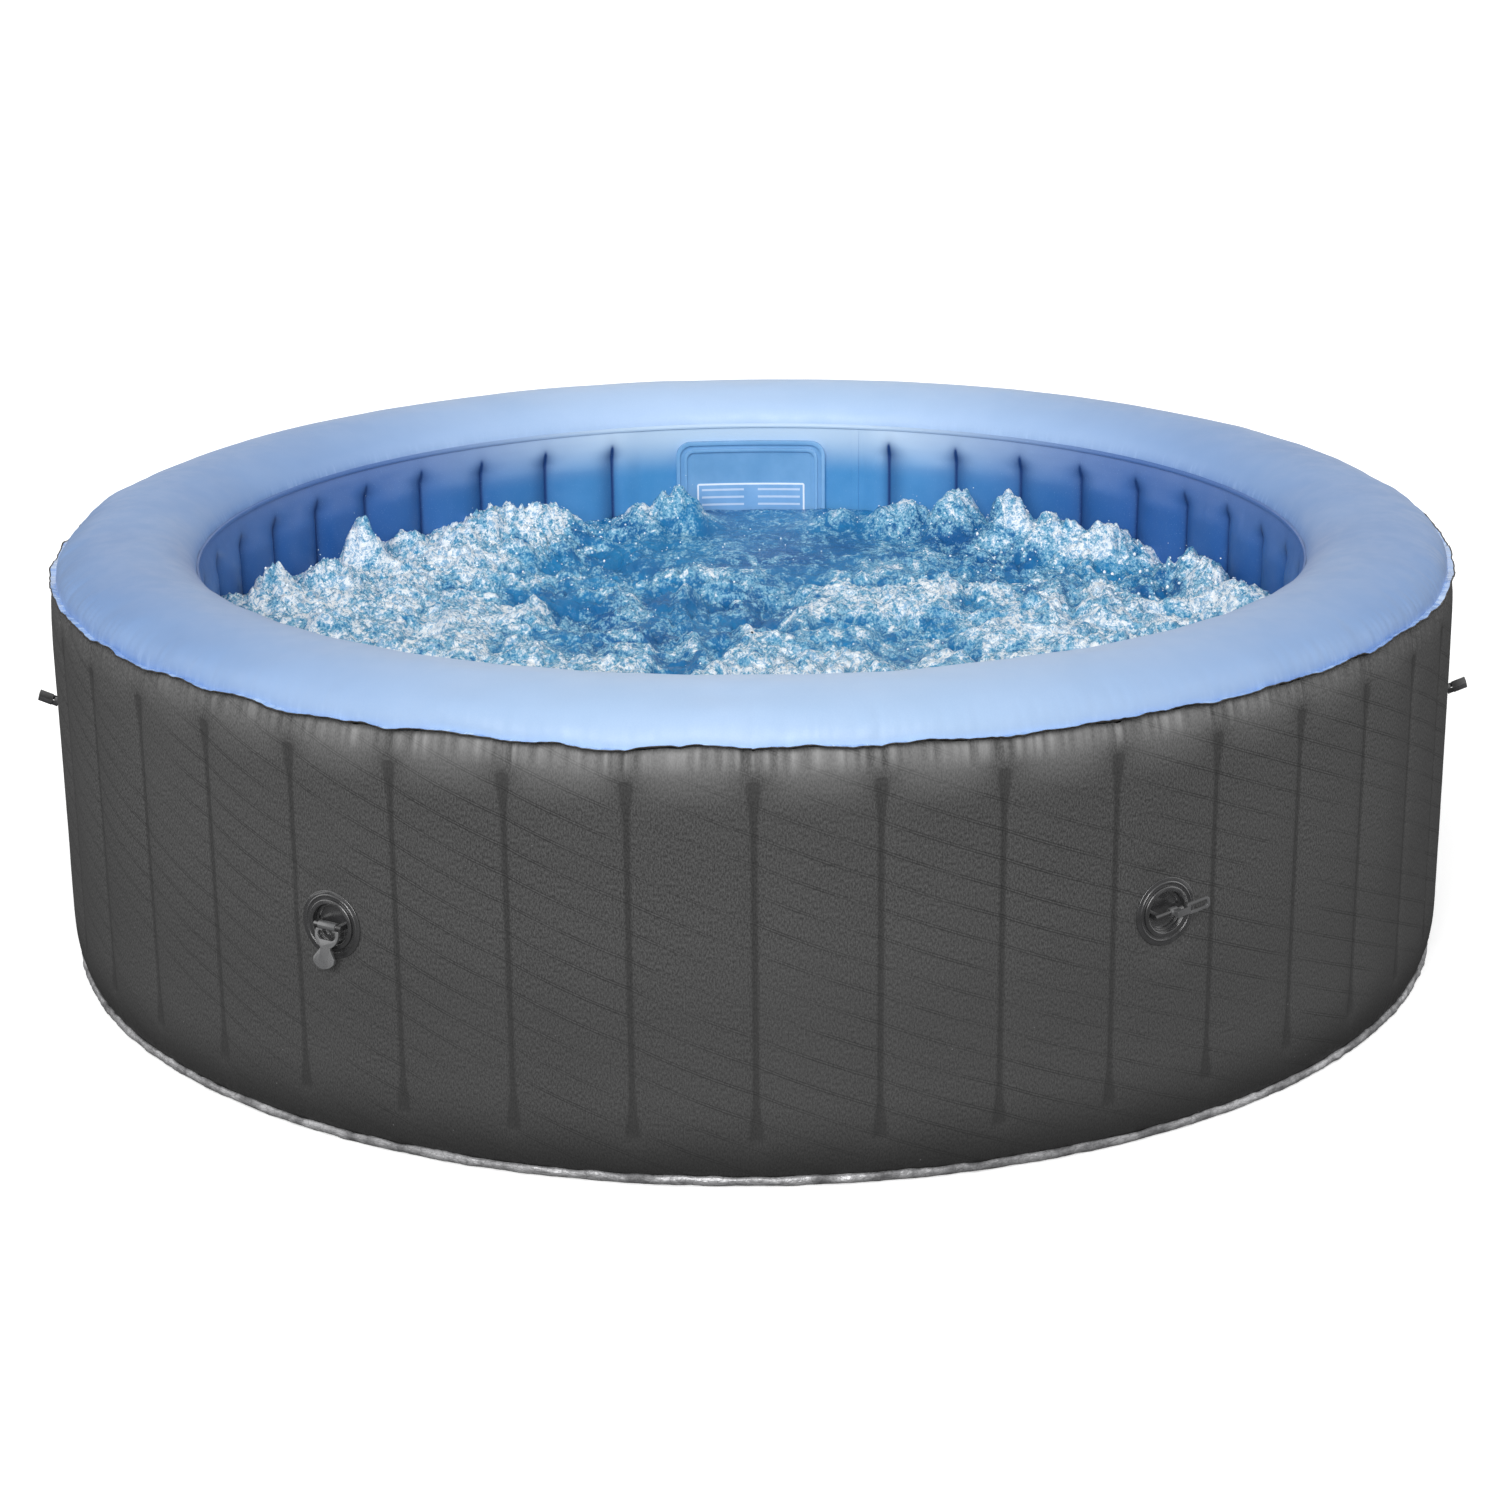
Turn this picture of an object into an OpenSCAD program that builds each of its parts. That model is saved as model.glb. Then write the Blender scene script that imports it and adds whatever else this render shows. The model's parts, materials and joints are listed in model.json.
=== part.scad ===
// Round inflatable hot tub with its water and air unit built into the wall.
// Frame: millimetres, +Z up, origin on the ground under the middle of the tub.
// The front is towards -Y, and the equipment panel is at the back, towards +Y.

/* [Tub] */
// Diameter over the welded rim seam
tub_d = 2040; // [2030:5:2080]
// Height of the rim's crest above the ground
tub_h = 620; // [600:5:640]
// Diameter of the basin
basin_d = 1620; // [1600:5:1630]
// Radius of the rim tube's crest
crest_r = 908; // [890:2:930]
// How far the outer rim weld lies below the crest
weld_drop = 54; // [40:1:70]
// How far the basin seam lies below the crest
seam_drop = 58; // [40:1:70]
// Thickness of the laminated skin
skin = 3; // [2:0.5:3]
// Number of wall beams and outer creases on the full circle
beam_count = 42; // [36:6:42]

/* [Foot] */
// Thickness of the foil-faced ground mat
mat_t = 8; // [6:1:10]
// How far the foot of the wall curls in
foot_inset = 17; // [10:1:25]
// Height of the foot's curl
foot_h = 60; // [40:5:70]

/* [Valves] */
// Azimuth of the left air valve from the front
left_valve_az = 31.1; // [29:0.1:31.5]
// Azimuth of the right air valve from the front
right_valve_az = 30; // [29:0.1:31.5]
// Height of the left air valve
left_valve_z = 298; // [250:1:350]
// Height of the right air valve
right_valve_z = 309; // [250:1:350]
// Radius of the welded valve flange
valve_flange_r = 44.5; // [42:0.5:48]
// How far the right cap is turned against the left one
right_cap_turn = 8; // [0:1:20]
// How far the left pull tab leans out from the wall
tab_lean = 15; // [12:1:20]

/* [Cover clips] */
// Azimuth of each side clip from the front
clip_az = 81.43; // [80:0.5:85]
// Height of the side clips
clip_z = 371; // [350:1:450]
// Tilt of the buckles above level
clip_tilt = 25; // [15:1:35]

/* [Equipment panel] */
// Width of the panel
panel_w = 256; // [250:2:270]
// Height of the panel
panel_h = 456; // [450:2:460]
// Height of the panel's centre
panel_zc = 308; // [306:1:310]
// Corner radius of the panel
panel_corner = 24; // [10:1:30]

/* [Water and air unit] */
// Height of the filter and pump axis
pump_z = 165; // [163:1:167]
// Height of the heater's axis
heater_z = 262; // [261:1:263]
// Height of the blower's axis
blower_z = 415; // [413:1:417]
// Sideways place of the blower
blower_x = -55; // [-57:1:-53]
// Sideways place of the return outlet
return_x = -70; // [-72:1:-68]
// Sideways place of the air riser
riser_x = 115; // [114:1:116]

/* [Drain] */
// Azimuth of the drain from the front
drain_az = 150; // [149:1:151]
// Height of the drain
drain_z = 70; // [68:1:75]

/* [Hidden] */
$fa = 2;
$fs = 0.4;
ring_fn = 720;
eps = 0.01;

tub_r = tub_d / 2;
wall_r = tub_r - 3;
basin_r = basin_d / 2;
weld_z = tub_h - weld_drop;
seam_z = tub_h - seam_drop;
weld_in = 3;
foot_r = wall_r - foot_inset;
beam_pitch = 360 / beam_count;
panel_face_r = basin_r - 5;
panel_z1 = panel_zc + panel_h / 2;

// Bubble ring at the foot of the basin
bubble_r = 10;
bubble_major_r = basin_r - bubble_r - 0.5;
bubble_z = mat_t + skin + 13;

// The unit's depth range behind the panel
unit_y0 = basin_r + 12;
unit_y1 = unit_y0 + 163;
unit_half_w = 140;
unit_z0 = 70;
unit_z1 = 490;
unit_t = 3;
unit_mid_y = unit_y0 + 50;
air_y = unit_y0 + 55;
return_z = heater_z + 68;
blower_out_z = blower_z + 43;
hose_bend = 30;
air_bend = 25;

// ---- helpers ----

// A turned ring with a rectangular section
module ring(r_in, r_out, z0, z1) {
    rotate_extrude($fn = ring_fn)
        translate([r_in, z0])
            square([r_out - r_in, z1 - z0]);
}

// A plain tube or disc along Z, from z0 to z1
module pipe(r_out, r_in, z0, z1) {
    translate([0, 0, z0])
        difference() {
            cylinder(r = r_out, h = z1 - z0);
            if (r_in > 0)
                translate([0, 0, -1])
                    cylinder(r = r_in, h = z1 - z0 + 2);
        }
}

// A cylinder along Y, from y0 to y1
module rod_y(r, y0, y1) {
    translate([0, y0, 0])
        rotate([-90, 0, 0])
            cylinder(r = r, h = y1 - y0);
}

// A cylinder along X, from x0 to x1
module rod_x(r, x0, x1) {
    translate([x0, 0, 0])
        rotate([0, 90, 0])
            cylinder(r = r, h = x1 - x0);
}

// A box given by its two corners
module block(low, high) {
    translate(low)
        cube(high - low);
}

// A rectangle with round corners, centred
module rounded(w, h, r) {
    square([w - 2 * r, h], center = true);
    square([w, h - 2 * r], center = true);
    for (sx = [-1, 1], sy = [-1, 1])
        translate([sx * (w / 2 - r), sy * (h / 2 - r)])
            circle(r = r);
}

// A rounded slab facing Y, from y0 to y1, centred at height zc
module slab(w, h, r, y0, y1, zc) {
    translate([0, y1, zc])
        rotate([90, 0, 0])
            linear_extrude(y1 - y0)
                rounded(w, h, r);
}

// Places a piece on the wall: local +Z points out, +Y points up
module at_wall(az, z) {
    rotate([0, 0, az])
        translate([0, 0, z])
            rotate([90, 0, 0])
                children();
}

// A quarter bend of hose in the Y-Z plane, from +Y round to +Z
module bend_yz(bend, r_out, r_in) {
    rotate([90, 0, 90])
        rotate_extrude(angle = 90)
            translate([bend, 0])
                difference() {
                    circle(r = r_out);
                    circle(r = r_in);
                }
}

// Points of a quarter ellipse round [cr, cz], with radii a and b
function quarter(cr, cz, a, b, from, to) =
    [for (i = [0:9]) let (t = from + (to - from) * i / 9) [cr + a * cos(t), cz + b * sin(t)]];

// ---- envelope ----

// Foil-faced foam mat, with its edge turned up round the foot
module ground_mat() {
    lip_r = foot_r + 16;
    color("silver")
        rotate_extrude()
            polygon([[0, 0], [lip_r, 0], [lip_r, mat_t + 9], [lip_r - 4, mat_t + 9],
                     [lip_r - 4, mat_t], [0, mat_t]]);
}

// Ring sheet under the air chamber
module wall_base() {
    color("dimgray")
        ring(basin_r + skin, foot_r, mat_t, mat_t + skin);
}

// Floor of the basin
module floor_liner() {
    color("cornflowerblue")
        translate([0, 0, mat_t])
            cylinder(r = basin_r, h = skin);
}

// Radial section of the outer wall
module outer_wall_section() {
    outer_foot = quarter(foot_r, mat_t + foot_h, foot_inset, foot_h, -90, 0);
    inner_foot = quarter(foot_r, mat_t + foot_h, foot_inset - skin, foot_h - skin, 0, -90);
    polygon(concat(
        outer_foot,
        [[wall_r, weld_z - 36], [wall_r - weld_in, weld_z - 8], [wall_r - weld_in, weld_z],
         [wall_r - weld_in - skin, weld_z], [wall_r - weld_in - skin, weld_z - 8],
         [wall_r - skin, weld_z - 36]],
        inner_foot));
}

// Outer wall, with its valve, drain and service openings
module outer_wall() {
    color("dimgray")
        difference() {
            rotate_extrude()
                outer_wall_section();
            for (place = [[-left_valve_az, left_valve_z], [right_valve_az, right_valve_z]])
                at_wall(place[0], place[1])
                    pipe(30.8, 0, wall_r - 20, wall_r + 20);
            at_wall(drain_az, drain_z)
                pipe(12.4, 0, wall_r - 20, wall_r + 20);
            block([-120, wall_r - 60, 95], [120, wall_r + 20, 465]);
            rear_screw_places()
                rod_y(2.4, wall_r - 60, wall_r + 20);
        }
}

// Inner wall of the basin, with the openings behind the panel
module inner_wall() {
    color("steelblue")
        difference() {
            ring(basin_r, basin_r + skin, mat_t, seam_z);
            panel_ports(0.5, basin_r - 30, basin_r + 10);
            translate([riser_x, 0, bubble_z])
                rod_y(8.5, basin_r - 30, basin_r + 10);
            at_wall(drain_az, drain_z)
                pipe(12.4, 0, basin_r - 20, basin_r + 20);
        }
}

// Rim tube from the outer weld over the crest to the basin seam
module top_tube() {
    out_a = wall_r - weld_in - crest_r;
    in_a = crest_r - basin_r;
    color("lightsteelblue")
        rotate_extrude()
            polygon(concat(
                quarter(crest_r, weld_z, out_a, weld_drop, 0, 90),
                quarter(crest_r, seam_z, in_a, seam_drop, 99, 180),
                quarter(crest_r, seam_z, in_a - skin, seam_drop - skin, 180, 90),
                quarter(crest_r, weld_z, out_a - skin, weld_drop - skin, 81, 0)));
}

// Welded edge between the rim tube and the outer wall
module rim_weld_flange() {
    r0 = wall_r - weld_in;
    color("lightskyblue")
        rotate_extrude()
            polygon([[r0, weld_z - 6], [tub_r - 1, weld_z - 4], [tub_r, weld_z - 2],
                     [tub_r - 1, weld_z + 2], [r0, weld_z + 2]]);
}

// Welded bead between the rim tube and the basin wall
module basin_seam_bead() {
    color("royalblue")
        rotate_extrude()
            polygon([[basin_r, seam_z - 4], [basin_r - 3, seam_z - 2.5], [basin_r - 3.5, seam_z],
                     [basin_r - 3, seam_z + 2.5], [basin_r, seam_z + 4]]);
}

// Radial strips that tie the two walls together, none of them behind the panel
module wall_beams() {
    color("slategray")
        for (i = [2:beam_count - 2])
            rotate([0, 0, i * beam_pitch])
                block([-1, basin_r + skin + 0.2, 70], [1, wall_r - skin - 0.4, 520]);
}

// Vertical lap strip where the basin wall's ends meet
module inner_joint_strip() {
    color("royalblue")
        intersection() {
            ring(basin_r - 1.4, basin_r, 40, seam_z - 6);
            rotate([0, 0, -1.5 * beam_pitch])
                block([-6, basin_r - 50, 0], [6, basin_r + 50, tub_h]);
        }
}

// Perforated air ring at the foot of the basin, with its feed stub
module bubble_ring() {
    stub_y0 = sqrt(pow(bubble_major_r, 2) - pow(riser_x, 2));
    color("royalblue")
        difference() {
            union() {
                translate([0, 0, bubble_z])
                    rotate_extrude()
                        translate([bubble_major_r, 0])
                            circle(r = bubble_r);
                translate([riser_x, 0, bubble_z])
                    rod_y(8, stub_y0, unit_y0 + 20);
            }
            translate([0, 0, bubble_z])
                rotate_extrude()
                    translate([bubble_major_r, 0])
                        circle(r = bubble_r - 2.5);
            translate([riser_x, 0, bubble_z])
                rod_y(6, stub_y0, unit_y0 + 21);
            for (i = [0:beam_count - 1])
                rotate([0, 0, (i + 0.5) * beam_pitch])
                    translate([0, bubble_major_r - 6, bubble_z + 6])
                        rotate([45, 0, 0])
                            cylinder(r = 2, h = 8, center = true);
        }
}

// ---- equipment panel and filter ----

// The round ports through the panel, the basin wall and the case
module panel_ports(gap, y0, y1) {
    translate([0, 0, pump_z])
        rod_y(22 + gap, y0, y1);
    translate([return_x, 0, return_z])
        rod_y(14 + gap, y0, y1);
}

// A raised border of the panel, inset from its edge
module panel_border(inset, wide) {
    intersection() {
        ring(panel_face_r - 4, panel_face_r, 0, tub_h);
        difference() {
            slab(panel_w - 2 * inset, panel_h - 2 * inset, panel_corner - inset * 0.6, 700, basin_r, panel_zc);
            slab(panel_w - 2 * inset - 2 * wide, panel_h - 2 * inset - 2 * wide,
                 panel_corner - inset * 0.6 - wide * 0.6, 690, basin_r + 10, panel_zc);
        }
    }
}

// Equipment panel on the basin wall, with its two raised borders
module equipment_panel() {
    color("steelblue")
        difference() {
            union() {
                intersection() {
                    ring(panel_face_r, basin_r, 0, tub_h);
                    slab(panel_w, panel_h, panel_corner, 700, basin_r + 10, panel_zc);
                }
                panel_border(0, 6);
                panel_border(13, 5);
            }
            panel_ports(0.5, basin_r - 60, basin_r + 10);
        }
}

// Blank notice plate on the panel
module notice_plate() {
    color("lightsteelblue")
        intersection() {
            ring(panel_face_r - 0.8, panel_face_r, 0, tub_h);
            slab(186, 88, 4, 700, basin_r, panel_z1 - 118);
        }
}

// Filter socket with the spigot that the cartridge slides on
module filter_socket() {
    y_face = panel_face_r - 9;
    color("whitesmoke")
        translate([0, 0, pump_z])
            difference() {
                union() {
                    rod_y(60, y_face, y_face + 6);
                    rod_y(22, y_face - 56, unit_y0 + 16);
                }
                rod_y(18, y_face - 57, unit_y0 + 17);
            }
}

// Pleated filter cartridge with its two end caps
module filter_cartridge() {
    y1 = panel_face_r - 15;
    y0 = y1 - 90;
    pleats = 36;
    color("white")
        translate([0, 0, pump_z])
            difference() {
                union() {
                    translate([0, y1 - 5, 0])
                        rotate([90, 0, 0])
                            linear_extrude(80)
                                polygon([for (i = [0:2 * pleats - 1])
                                    let (r = i % 2 == 0 ? 54 : 48, a = i * 180 / pleats) [r * cos(a), r * sin(a)]]);
                    rod_y(56, y0, y0 + 6);
                    rod_y(56, y1 - 6, y1);
                }
                rod_y(22.3, y0 + 12, y1 + 1);
            }
}

// Slotted twist-off cover round the cartridge
module filter_cover() {
    y1 = panel_face_r - 10;
    y0 = y1 - 105;
    color("whitesmoke")
        translate([0, 0, pump_z])
            difference() {
                rod_y(70, y0, y1);
                rod_y(66, y0 + 4, y1 + 1);
                for (i = [0:17])
                    rotate([0, i * 20, 0])
                        block([-2.5, y0 + 20, 60], [2.5, y1 - 15, 75]);
            }
}

// Return outlet with its grille and hose tail
module return_fitting() {
    y_face = panel_face_r - 15;
    color("whitesmoke")
        translate([return_x, 0, return_z]) {
            difference() {
                union() {
                    rod_y(30, y_face, y_face + 7);
                    rod_y(14, y_face + 6, unit_y0 + 18);
                }
                rod_y(11, y_face - 1, unit_y0 + 19);
            }
            for (a = [0, 60, 120])
                rotate([0, a, 0])
                    block([-1, y_face + 1, -11.5], [1, y_face + 4, 11.5]);
        }
}

// ---- air valves ----

// Welded flange of an air valve
module valve_flange() {
    color("dimgray") {
        pipe(valve_flange_r, 30.8, wall_r, wall_r + 1.6);
        pipe(39, 37, wall_r + 1.6 - eps, wall_r + 2.6);
    }
}

// Valve cup with a seal ledge, a ported plate and a raised lip
module valve_body() {
    color("dimgray")
        difference() {
            union() {
                pipe(30.5, 0, wall_r - 55, wall_r + 2);
                pipe(33, 0, wall_r + 1.7, wall_r + 4);
            }
            pipe(27, 0, wall_r - 19, wall_r + 5);
            pipe(24, 0, wall_r - 51, wall_r - 18);
            pipe(4.08, 0, wall_r - 56, wall_r - 50);
            for (i = [0:5])
                rotate([0, 0, i * 60])
                    translate([15, 0, 0])
                        pipe(4.5, 0, wall_r - 56, wall_r - 50);
        }
}

// Push stem with its head and the sealing diaphragm behind the plate
module valve_stem() {
    color("gray") {
        pipe(4, 0, wall_r - 66, wall_r - 28);
        pipe(9, 0, wall_r - 30, wall_r - 27);
        pipe(21, 0, wall_r - 58, wall_r - 55.2);
    }
}

// Spring round the stem, closed up
module valve_spring() {
    color("silver")
        for (i = [0:6])
            translate([0, 0, wall_r - 49.9 + i * 1.6])
                rotate_extrude()
                    translate([6.6, 0])
                        circle(r = 0.9);
}

// Flat gasket under the cap
module cap_seal() {
    color("black")
        pipe(26.2, 21, wall_r - 18.8, wall_r - 15);
}

bar_z = wall_r + 7;
tab_t = 4;

// Screw cap with a bridge bar that carries the pull tab
module valve_cap() {
    color("dimgray") {
        difference() {
            pipe(26.5, 0, wall_r - 14.8, wall_r - 3);
            pipe(23, 0, wall_r - 7, wall_r);
        }
        for (side = [-1, 1])
            block([side * 18 - 3, -3.5, wall_r - 7.5], [side * 18 + 3, 3.5, bar_z]);
        translate([0, 0, bar_z])
            rod_x(3.5, -21, 21);
    }
}

// Left pull tab: a loop on the cap's bar, a waist and a spade end
module hanging_tab() {
    color("gray")
        translate([0, 0, bar_z])
            rotate([-tab_lean, 0, 0])
                difference() {
                    union() {
                        rod_x(5.6, -13, 13);
                        translate([0, 0, -tab_t / 2])
                            linear_extrude(tab_t)
                                hanging_tab_outline();
                    }
                    rod_x(3.58, -14, 14);
                }
}

// Outline of the left pull tab: a loop with a finger hole, a waist and a flared end
module hanging_tab_outline() {
    difference() {
        translate([0, -11])
            circle(r = 18);
        for (side = [-1, 1])
            translate([side * 7.5, -11.5])
                circle(r = 6.5);
        translate([-7.5, -18])
            square([15, 13]);
        translate([-20, -5])
            square([40, 15]);
    }
    for (side = [-1, 1])
        translate([side * 10 - 2.5, -7])
            square([5, 5]);
    translate([-7.5, -40])
        square([15, 14]);
    intersection() {
        translate([0, -35])
            circle(r = 19.5);
        polygon([[-7.5, -29], [7.5, -29], [16, -41], [16, -56], [-16, -56], [-16, -41]]);
    }
}

bent_out = 12;

// Right pull tab, bent aside: a knuckle and an arm that carry a flat finger loop
module bent_tab() {
    color("gray")
        translate([0, 0, bar_z])
            difference() {
                union() {
                    rod_x(5.6, 1, 12);
                    block([4, -4, 0], [12, 4, bent_out + 1.6]);
                    block([8, -4, bent_out - 1.6], [22, 4, bent_out + 1.6]);
                    translate([37, 2, bent_out - 1.6])
                        linear_extrude(3.2)
                            finger_loop();
                }
                rod_x(3.58, 0, 13);
            }
}

// Outline of the finger loop
module finger_loop() {
    difference() {
        rounded(34, 15, 5);
        rounded(26, 8.6, 3);
    }
}

// ---- cover clips ----

clip_pivot_out = 6;

// Welded patch under a clip
module clip_patch() {
    color("dimgray")
        translate([0, 0, wall_r])
            linear_extrude(1.6)
                rounded(46, 56, 6);
}

// Webbing that loops round the buckle's bar
module clip_strap() {
    color("black")
        difference() {
            union() {
                block([-10, -20, wall_r + 1.6], [10, 2, wall_r + 3.4]);
                translate([0, 0, wall_r + clip_pivot_out])
                    rod_x(3.2, -10, 10);
            }
            translate([0, 0, wall_r + clip_pivot_out])
                rod_x(1.58, -11, 11);
        }
}

// Socket half of the cover buckle
module clip_buckle() {
    color("dimgray")
        translate([0, 0, wall_r + clip_pivot_out])
            rotate([-clip_tilt, 0, 0]) {
                rod_x(1.5, -12, 12);
                for (side = [-1, 1])
                    block([side * 13 - 2, -3, -3], [side * 13 + 2, 3, 8]);
                difference() {
                    block([-17, -3.2, 6], [17, 3.2, 26]);
                    block([-13, -1.4, 10], [13, 1.4, 27]);
                }
            }
}

// ---- water and air unit ----

// Corners where the rear cover is screwed on
module rear_screw_places() {
    for (x = [-130, 130], z = [85, 475])
        translate([x, 0, z])
            children();
}

// Open-backed case with the flange that the rear cover pulls on to
module unit_case() {
    inset = unit_t;
    color("gainsboro")
        difference() {
            union() {
                block([-unit_half_w, unit_y0, unit_z0], [unit_half_w, unit_y1, unit_z1]);
                block([-unit_half_w - 8, unit_y1 - eps, unit_z0 - 8],
                      [unit_half_w + 8, unit_y1 + 3, unit_z1 + 8]);
            }
            block([inset - unit_half_w, unit_y0 + inset, unit_z0 + inset],
                  [unit_half_w - inset, unit_y1, unit_z1 - inset]);
            block([-118, unit_y1 - 1, 97], [118, unit_y1 + 4, 463]);
            panel_ports(0.5, unit_y0 - 1, unit_y0 + inset + 1);
            translate([riser_x, air_y, 0])
                pipe(11.5, 0, unit_z0 - 1, unit_z0 + inset + 1);
            rear_screw_places()
                rod_y(2.2, unit_y1 - 1, unit_y1 + 4);
        }
}

// Sleeve between the filter socket and the pump inlet
module suction_hose() {
    color("black")
        translate([0, 0, pump_z])
            difference() {
                rod_y(25.5, unit_y0 + 5, unit_y0 + 27);
                rod_y(22.2, unit_y0 + 4, unit_y0 + 28);
            }
}

// Pump volute with its inlet and its upright outlet
module pump_housing() {
    color("darkslategray")
        difference() {
            union() {
                translate([0, 0, pump_z]) {
                    rod_y(52, unit_y0 + 28, unit_y0 + 73);
                    rod_y(22, unit_y0 + 18, unit_y0 + 30);
                }
                translate([38, unit_mid_y, pump_z])
                    pipe(11, 0, 0, 58);
            }
            translate([0, 0, pump_z]) {
                rod_y(46, unit_y0 + 32, unit_y0 + 69);
                rod_y(18, unit_y0 + 17, unit_y0 + 33);
                rod_y(4.06, unit_y0 + 68, unit_y0 + 74);
            }
            translate([38, unit_mid_y, pump_z])
                pipe(8, 0, 0, 59);
        }
}

// Impeller with six vanes and its shaft
module pump_impeller() {
    color("whitesmoke")
        translate([0, 0, pump_z]) {
            rod_y(40, unit_y0 + 60, unit_y0 + 64);
            rod_y(11, unit_y0 + 38, unit_y0 + 66);
            rod_y(4, unit_y0 + 38, unit_y0 + 80);
            for (i = [0:5])
                rotate([0, i * 60, 0])
                    block([9, unit_y0 + 40, -1.5], [39, unit_y0 + 61, 1.5]);
        }
}

// Pump motor on its foot, with a blind bore for the shaft
module pump_motor() {
    color("dimgray")
        difference() {
            union() {
                translate([0, 0, pump_z])
                    rod_y(44, unit_y0 + 73, unit_y0 + 148);
                block([-26, unit_y0 + 84, unit_z0 + unit_t], [26, unit_y0 + 138, pump_z]);
            }
            translate([0, 0, pump_z])
                rod_y(4.06, unit_y0 + 72, unit_y0 + 82);
        }
}

// Sleeve from the pump up to the heater
module pressure_hose() {
    color("black")
        translate([38, unit_mid_y, 0])
            pipe(14, 11.2, pump_z + 49, heater_z - 26.5);
}

// Heater tube with its nozzles and its bracket on the case
module heater_tube() {
    color("silver")
        translate([0, unit_mid_y, heater_z])
            difference() {
                union() {
                    rod_x(26, -112, 80);
                    translate([38, 0, 0])
                        pipe(11, 0, -36, -20);
                    translate([return_x, 0, 0])
                        pipe(14, 0, 20, 38);
                    block([-20, unit_y0 + unit_t - unit_mid_y, -8], [0, -20, 8]);
                }
                rod_x(23, -108, 76);
                rod_x(6.1, 75, 81);
                translate([38, 0, 0])
                    pipe(8, 0, -37, -15);
                translate([return_x, 0, 0])
                    pipe(11, 0, 15, 39);
            }
}

// Heating rod with its two terminals
module heater_element() {
    color("sandybrown")
        translate([0, unit_mid_y, heater_z]) {
            rod_x(6, -98, 86);
            for (side = [-1, 1])
                translate([0, 0, side * 3])
                    rod_x(1.5, 86 - eps, 94);
        }
}

// Hose from the heater round to the return outlet
module return_hose() {
    color("black") {
        translate([return_x, unit_mid_y, 0])
            pipe(17, 14.2, heater_z + 28, heater_z + 38);
        translate([return_x, unit_mid_y - hose_bend, heater_z + 38])
            bend_yz(hose_bend, 17, 14.2);
        translate([return_x, 0, return_z])
            difference() {
                rod_y(17, unit_y0 + 7, unit_mid_y - hose_bend);
                rod_y(14.2, unit_y0 + 6, unit_mid_y - hose_bend + 1);
            }
    }
}

// Blower housing with its side outlet
module blower_housing() {
    color("darkslategray")
        difference() {
            union() {
                translate([blower_x, 0, blower_z])
                    rod_y(58, unit_y0 + 28, unit_y0 + 83);
                translate([0, air_y, blower_out_z])
                    rod_x(8, blower_x, 24);
            }
            translate([blower_x, 0, blower_z]) {
                rod_y(52, unit_y0 + 32, unit_y0 + 79);
                rod_y(20, unit_y0 + 27, unit_y0 + 33);
                rod_y(3.06, unit_y0 + 78, unit_y0 + 84);
            }
            translate([0, air_y, blower_out_z])
                rod_x(6, blower_x, 25);
        }
}

// Blower fan with twelve blades and its shaft
module blower_fan() {
    color("whitesmoke")
        translate([blower_x, 0, blower_z]) {
            rod_y(48, unit_y0 + 70, unit_y0 + 73);
            rod_y(10, unit_y0 + 40, unit_y0 + 74);
            rod_y(3, unit_y0 + 40, unit_y0 + 92);
            for (i = [0:11])
                rotate([0, i * 30, 0])
                    block([30, unit_y0 + 40, -1], [46, unit_y0 + 71, 1]);
        }
}

// Blower motor with its bracket on the case
module blower_motor() {
    color("dimgray")
        difference() {
            union() {
                translate([blower_x, 0, blower_z])
                    rod_y(30, unit_y0 + 83, unit_y0 + 138);
                block([unit_t - unit_half_w, unit_y0 + 92, blower_z - 10],
                      [blower_x, unit_y0 + 128, blower_z + 10]);
            }
            translate([blower_x, 0, blower_z])
                rod_y(3.06, unit_y0 + 82, unit_y0 + 94);
        }
}

flap_x = 31;
flap_pin_up = 11.5;

// Check valve that keeps water out of the blower
module check_valve() {
    color("white")
        translate([0, air_y, blower_out_z]) {
            difference() {
                union() {
                    rod_x(18, 24, 72);
                    rod_x(8, 71, 84);
                }
                rod_x(15, 27, 69);
                rod_x(6, 23, 85);
            }
            translate([flap_x, 0, flap_pin_up])
                rod_y(1, -11, 11);
        }
}

// Hinged flap of the check valve
module check_flap() {
    color("black")
        translate([0, air_y, blower_out_z])
            difference() {
                union() {
                    rod_x(10, flap_x - 1, flap_x + 1);
                    block([flap_x - 1, -4, 0], [flap_x + 1, 4, flap_pin_up]);
                    translate([flap_x, 0, flap_pin_up])
                        rod_y(1.9, -4, 4);
                }
                translate([flap_x, 0, flap_pin_up])
                    rod_y(1.06, -5, 5);
            }
}

// Air hose from the check valve down to the bubble ring
module air_hose() {
    top_z = blower_out_z - air_bend;
    low_z = bubble_z + air_bend;
    color("black") {
        translate([0, air_y, blower_out_z])
            difference() {
                rod_x(11, 74, riser_x - air_bend);
                rod_x(8.2, 73, riser_x - air_bend + 1);
            }
        translate([riser_x - air_bend, air_y, top_z])
            rotate([90, 0, 0])
                rotate_extrude(angle = 90)
                    hose_section(air_bend, 11, 8.2);
        translate([riser_x, air_y, 0])
            pipe(11, 8.2, low_z, top_z);
        translate([riser_x, air_y - air_bend, low_z])
            rotate([0, 0, 90])
                rotate([90, 0, 0])
                    rotate_extrude(angle = -90)
                        hose_section(air_bend, 11, 8.2);
        translate([riser_x, 0, bubble_z])
            difference() {
                rod_y(11, unit_y0 + 4, air_y - air_bend);
                rod_y(8.2, unit_y0 + 3, air_y - air_bend + 1);
            }
    }
}

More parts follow.
